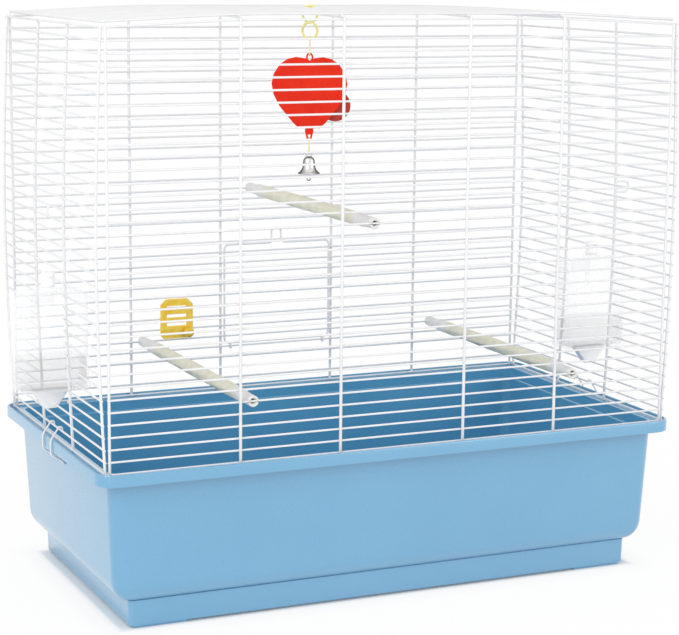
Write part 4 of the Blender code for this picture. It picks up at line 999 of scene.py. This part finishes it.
def direct_rays(tree):
    """Socket that is 1 for what the camera, a reflection or clear plastic sees directly."""
    path = add_node(tree, "ShaderNodeLightPath")
    first = add_node(tree, "ShaderNodeMath", operation="MAXIMUM")
    second = add_node(tree, "ShaderNodeMath", operation="MAXIMUM")
    link = tree.links.new
    link(path.outputs["Is Camera Ray"], first.inputs[0])
    link(path.outputs["Is Glossy Ray"], first.inputs[1])
    link(first.outputs[0], second.inputs[0])
    link(path.outputs["Is Transmission Ray"], second.inputs[1])
    return second.outputs[0]


def white_floor():
    """Pale floor that keeps the shadow near the cage and meets the white surround farther out."""
    shape = bmesh.new()
    bmesh.ops.create_grid(shape, x_segments=1, y_segments=1, size=STAGE_HALF)
    floor = placed("floor", shape)
    made = bpy.data.materials.new("pale_floor")
    made.use_nodes = True
    tree = made.node_tree
    tree.nodes.clear()
    output = add_node(tree, "ShaderNodeOutputMaterial")
    seen = add_node(tree, "ShaderNodeMixShader")
    matt = add_node(tree, "ShaderNodeBsdfDiffuse", {"Color": (0.93, 0.93, 0.93, 1)})
    glow = add_node(tree, "ShaderNodeEmission", {"Color": WHITE, "Strength": 1.0})
    place = add_node(tree, "ShaderNodeTexCoord")
    folded = add_node(tree, "ShaderNodeVectorMath", operation="ABSOLUTE")
    outside = add_node(tree, "ShaderNodeVectorMath", {1: (*PLINTH_HALF, 0)}, operation="SUBTRACT")
    parts = add_node(tree, "ShaderNodeSeparateXYZ")
    farther = add_node(tree, "ShaderNodeMath", operation="MAXIMUM")
    ramp = add_node(tree, "ShaderNodeValToRGB")
    stops = ramp.color_ramp.elements
    while len(stops) < len(SHADE_STOPS):
        stops.new(0.5)
    for stop, (distance, level) in zip(stops, SHADE_STOPS):
        stop.position = distance
        stop.color = (level, level, level, 1)
    share = add_node(tree, "ShaderNodeMath", operation="MULTIPLY")
    link = tree.links.new
    link(place.outputs["Object"], folded.inputs[0])
    link(folded.outputs["Vector"], outside.inputs[0])
    link(outside.outputs["Vector"], parts.inputs[0])
    link(parts.outputs["X"], farther.inputs[0])
    link(parts.outputs["Y"], farther.inputs[1])
    link(farther.outputs[0], ramp.inputs["Fac"])
    link(direct_rays(tree), share.inputs[0])
    link(ramp.outputs["Color"], share.inputs[1])
    link(share.outputs[0], seen.inputs["Fac"])
    link(matt.outputs[0], seen.inputs[1])
    link(glow.outputs[0], seen.inputs[2])
    link(seen.outputs[0], output.inputs["Surface"])
    floor.data.materials.append(made)


def soft_surround():
    """White surround for what is seen directly, and a dimmer one from above that lights the cage."""
    world = bpy.data.worlds.new("soft_surround")
    bpy.context.scene.world = world
    world.use_nodes = True
    tree = world.node_tree
    tree.nodes.clear()
    output = add_node(tree, "ShaderNodeOutputWorld")
    mix = add_node(tree, "ShaderNodeMixShader")
    soft = add_node(tree, "ShaderNodeBackground", {"Color": WHITE})
    way = add_node(tree, "ShaderNodeTexCoord")
    parts = add_node(tree, "ShaderNodeSeparateXYZ")
    dim = add_node(
        tree, "ShaderNodeMapRange", {"From Min": 0.2, "To Min": SURROUND[0], "To Max": SURROUND[1]})
    white = add_node(tree, "ShaderNodeBackground", {"Color": WHITE, "Strength": 1.0})
    link = tree.links.new
    link(way.outputs["Generated"], parts.inputs[0])
    link(parts.outputs["Z"], dim.inputs["Value"])
    link(dim.outputs["Result"], soft.inputs["Strength"])
    link(direct_rays(tree), mix.inputs["Fac"])
    link(soft.outputs[0], mix.inputs[1])
    link(white.outputs[0], mix.inputs[2])
    link(mix.outputs[0], output.inputs["Surface"])


def soft_box(name, place, size, power):
    """Square studio softbox that looks at the middle of the cage."""
    light = bpy.data.lights.new(name, "AREA")
    light.shape = "SQUARE"
    light.size = size
    light.energy = power
    lamp = bpy.data.objects.new(name, light)
    bpy.context.scene.collection.objects.link(lamp)
    lamp.location = place
    lamp.rotation_euler = (CAGE_MIDDLE - Vector(place)).to_track_quat("-Z", "Y").to_euler()


def photo_camera():
    """Camera at the photograph's place and angle."""
    data = bpy.data.cameras.new("photo_camera")
    data.sensor_fit = "HORIZONTAL"
    data.sensor_width = 36
    data.lens = LENS
    data.clip_end = 50
    camera = bpy.data.objects.new("photo_camera", data)
    bpy.context.scene.collection.objects.link(camera)
    turn = Matrix.Rotation(-YAW, 4, "Z") @ Matrix.Rotation(math.pi / 2 - PITCH, 4, "X")
    turn = turn @ Matrix.Rotation(ROLL, 4, "Z")
    camera.matrix_world = Matrix.Translation(CAMERA_POINT) @ turn
    bpy.context.scene.camera = camera


def dress_cage():
    """Puts every piece of the dressed cage in place."""
    dress_tray()
    dress_long_panel("plain_side_panel", -1)
    dress_long_panel("door_side_panel", 1, DOORWAY_ROWS)
    dress_end_panel("left_end_panel", -1)
    dress_end_panel("right_end_panel", 1)
    dress_roof()
    dress_door()
    dress_clip("left_tray_clip", -1)
    dress_clip("right_tray_clip", 1)
    dress_perch("upper_perch", -0.0312, 19)
    dress_perch("lower_left_perch", -0.1525, 5)
    dress_perch("lower_right_perch", 0.186, 5)
    for label, side in (("left", -1), ("right", 1)):
        dress_feeder(label, side)
        dress_bearings(label, side)
    dress_hook()
    dress_link("toy_upper_link", "yellow_upper_link")
    dress_heart()
    dress_link("toy_lower_link", "yellow_lower_link")
    dress_bell()
    dress_clapper()
    refined("treat_clip_plate", "gold_plastic", "cage", 0.0005)
    knob = refined("treat_clip_knob", "gold_plastic", "cage", 0.0005)
    knob.data.materials[0] = GOLD_KNOB


white_floor()
soft_surround()
soft_box("key_softbox", (-2.4, -1.8, 1.9), 1.8, 30)
soft_box("fill_softbox", (2.0, -2.8, 1.3), 1.6, 15)
photo_camera()
bpy.context.scene.view_settings.view_transform = "Standard"
dress_cage()
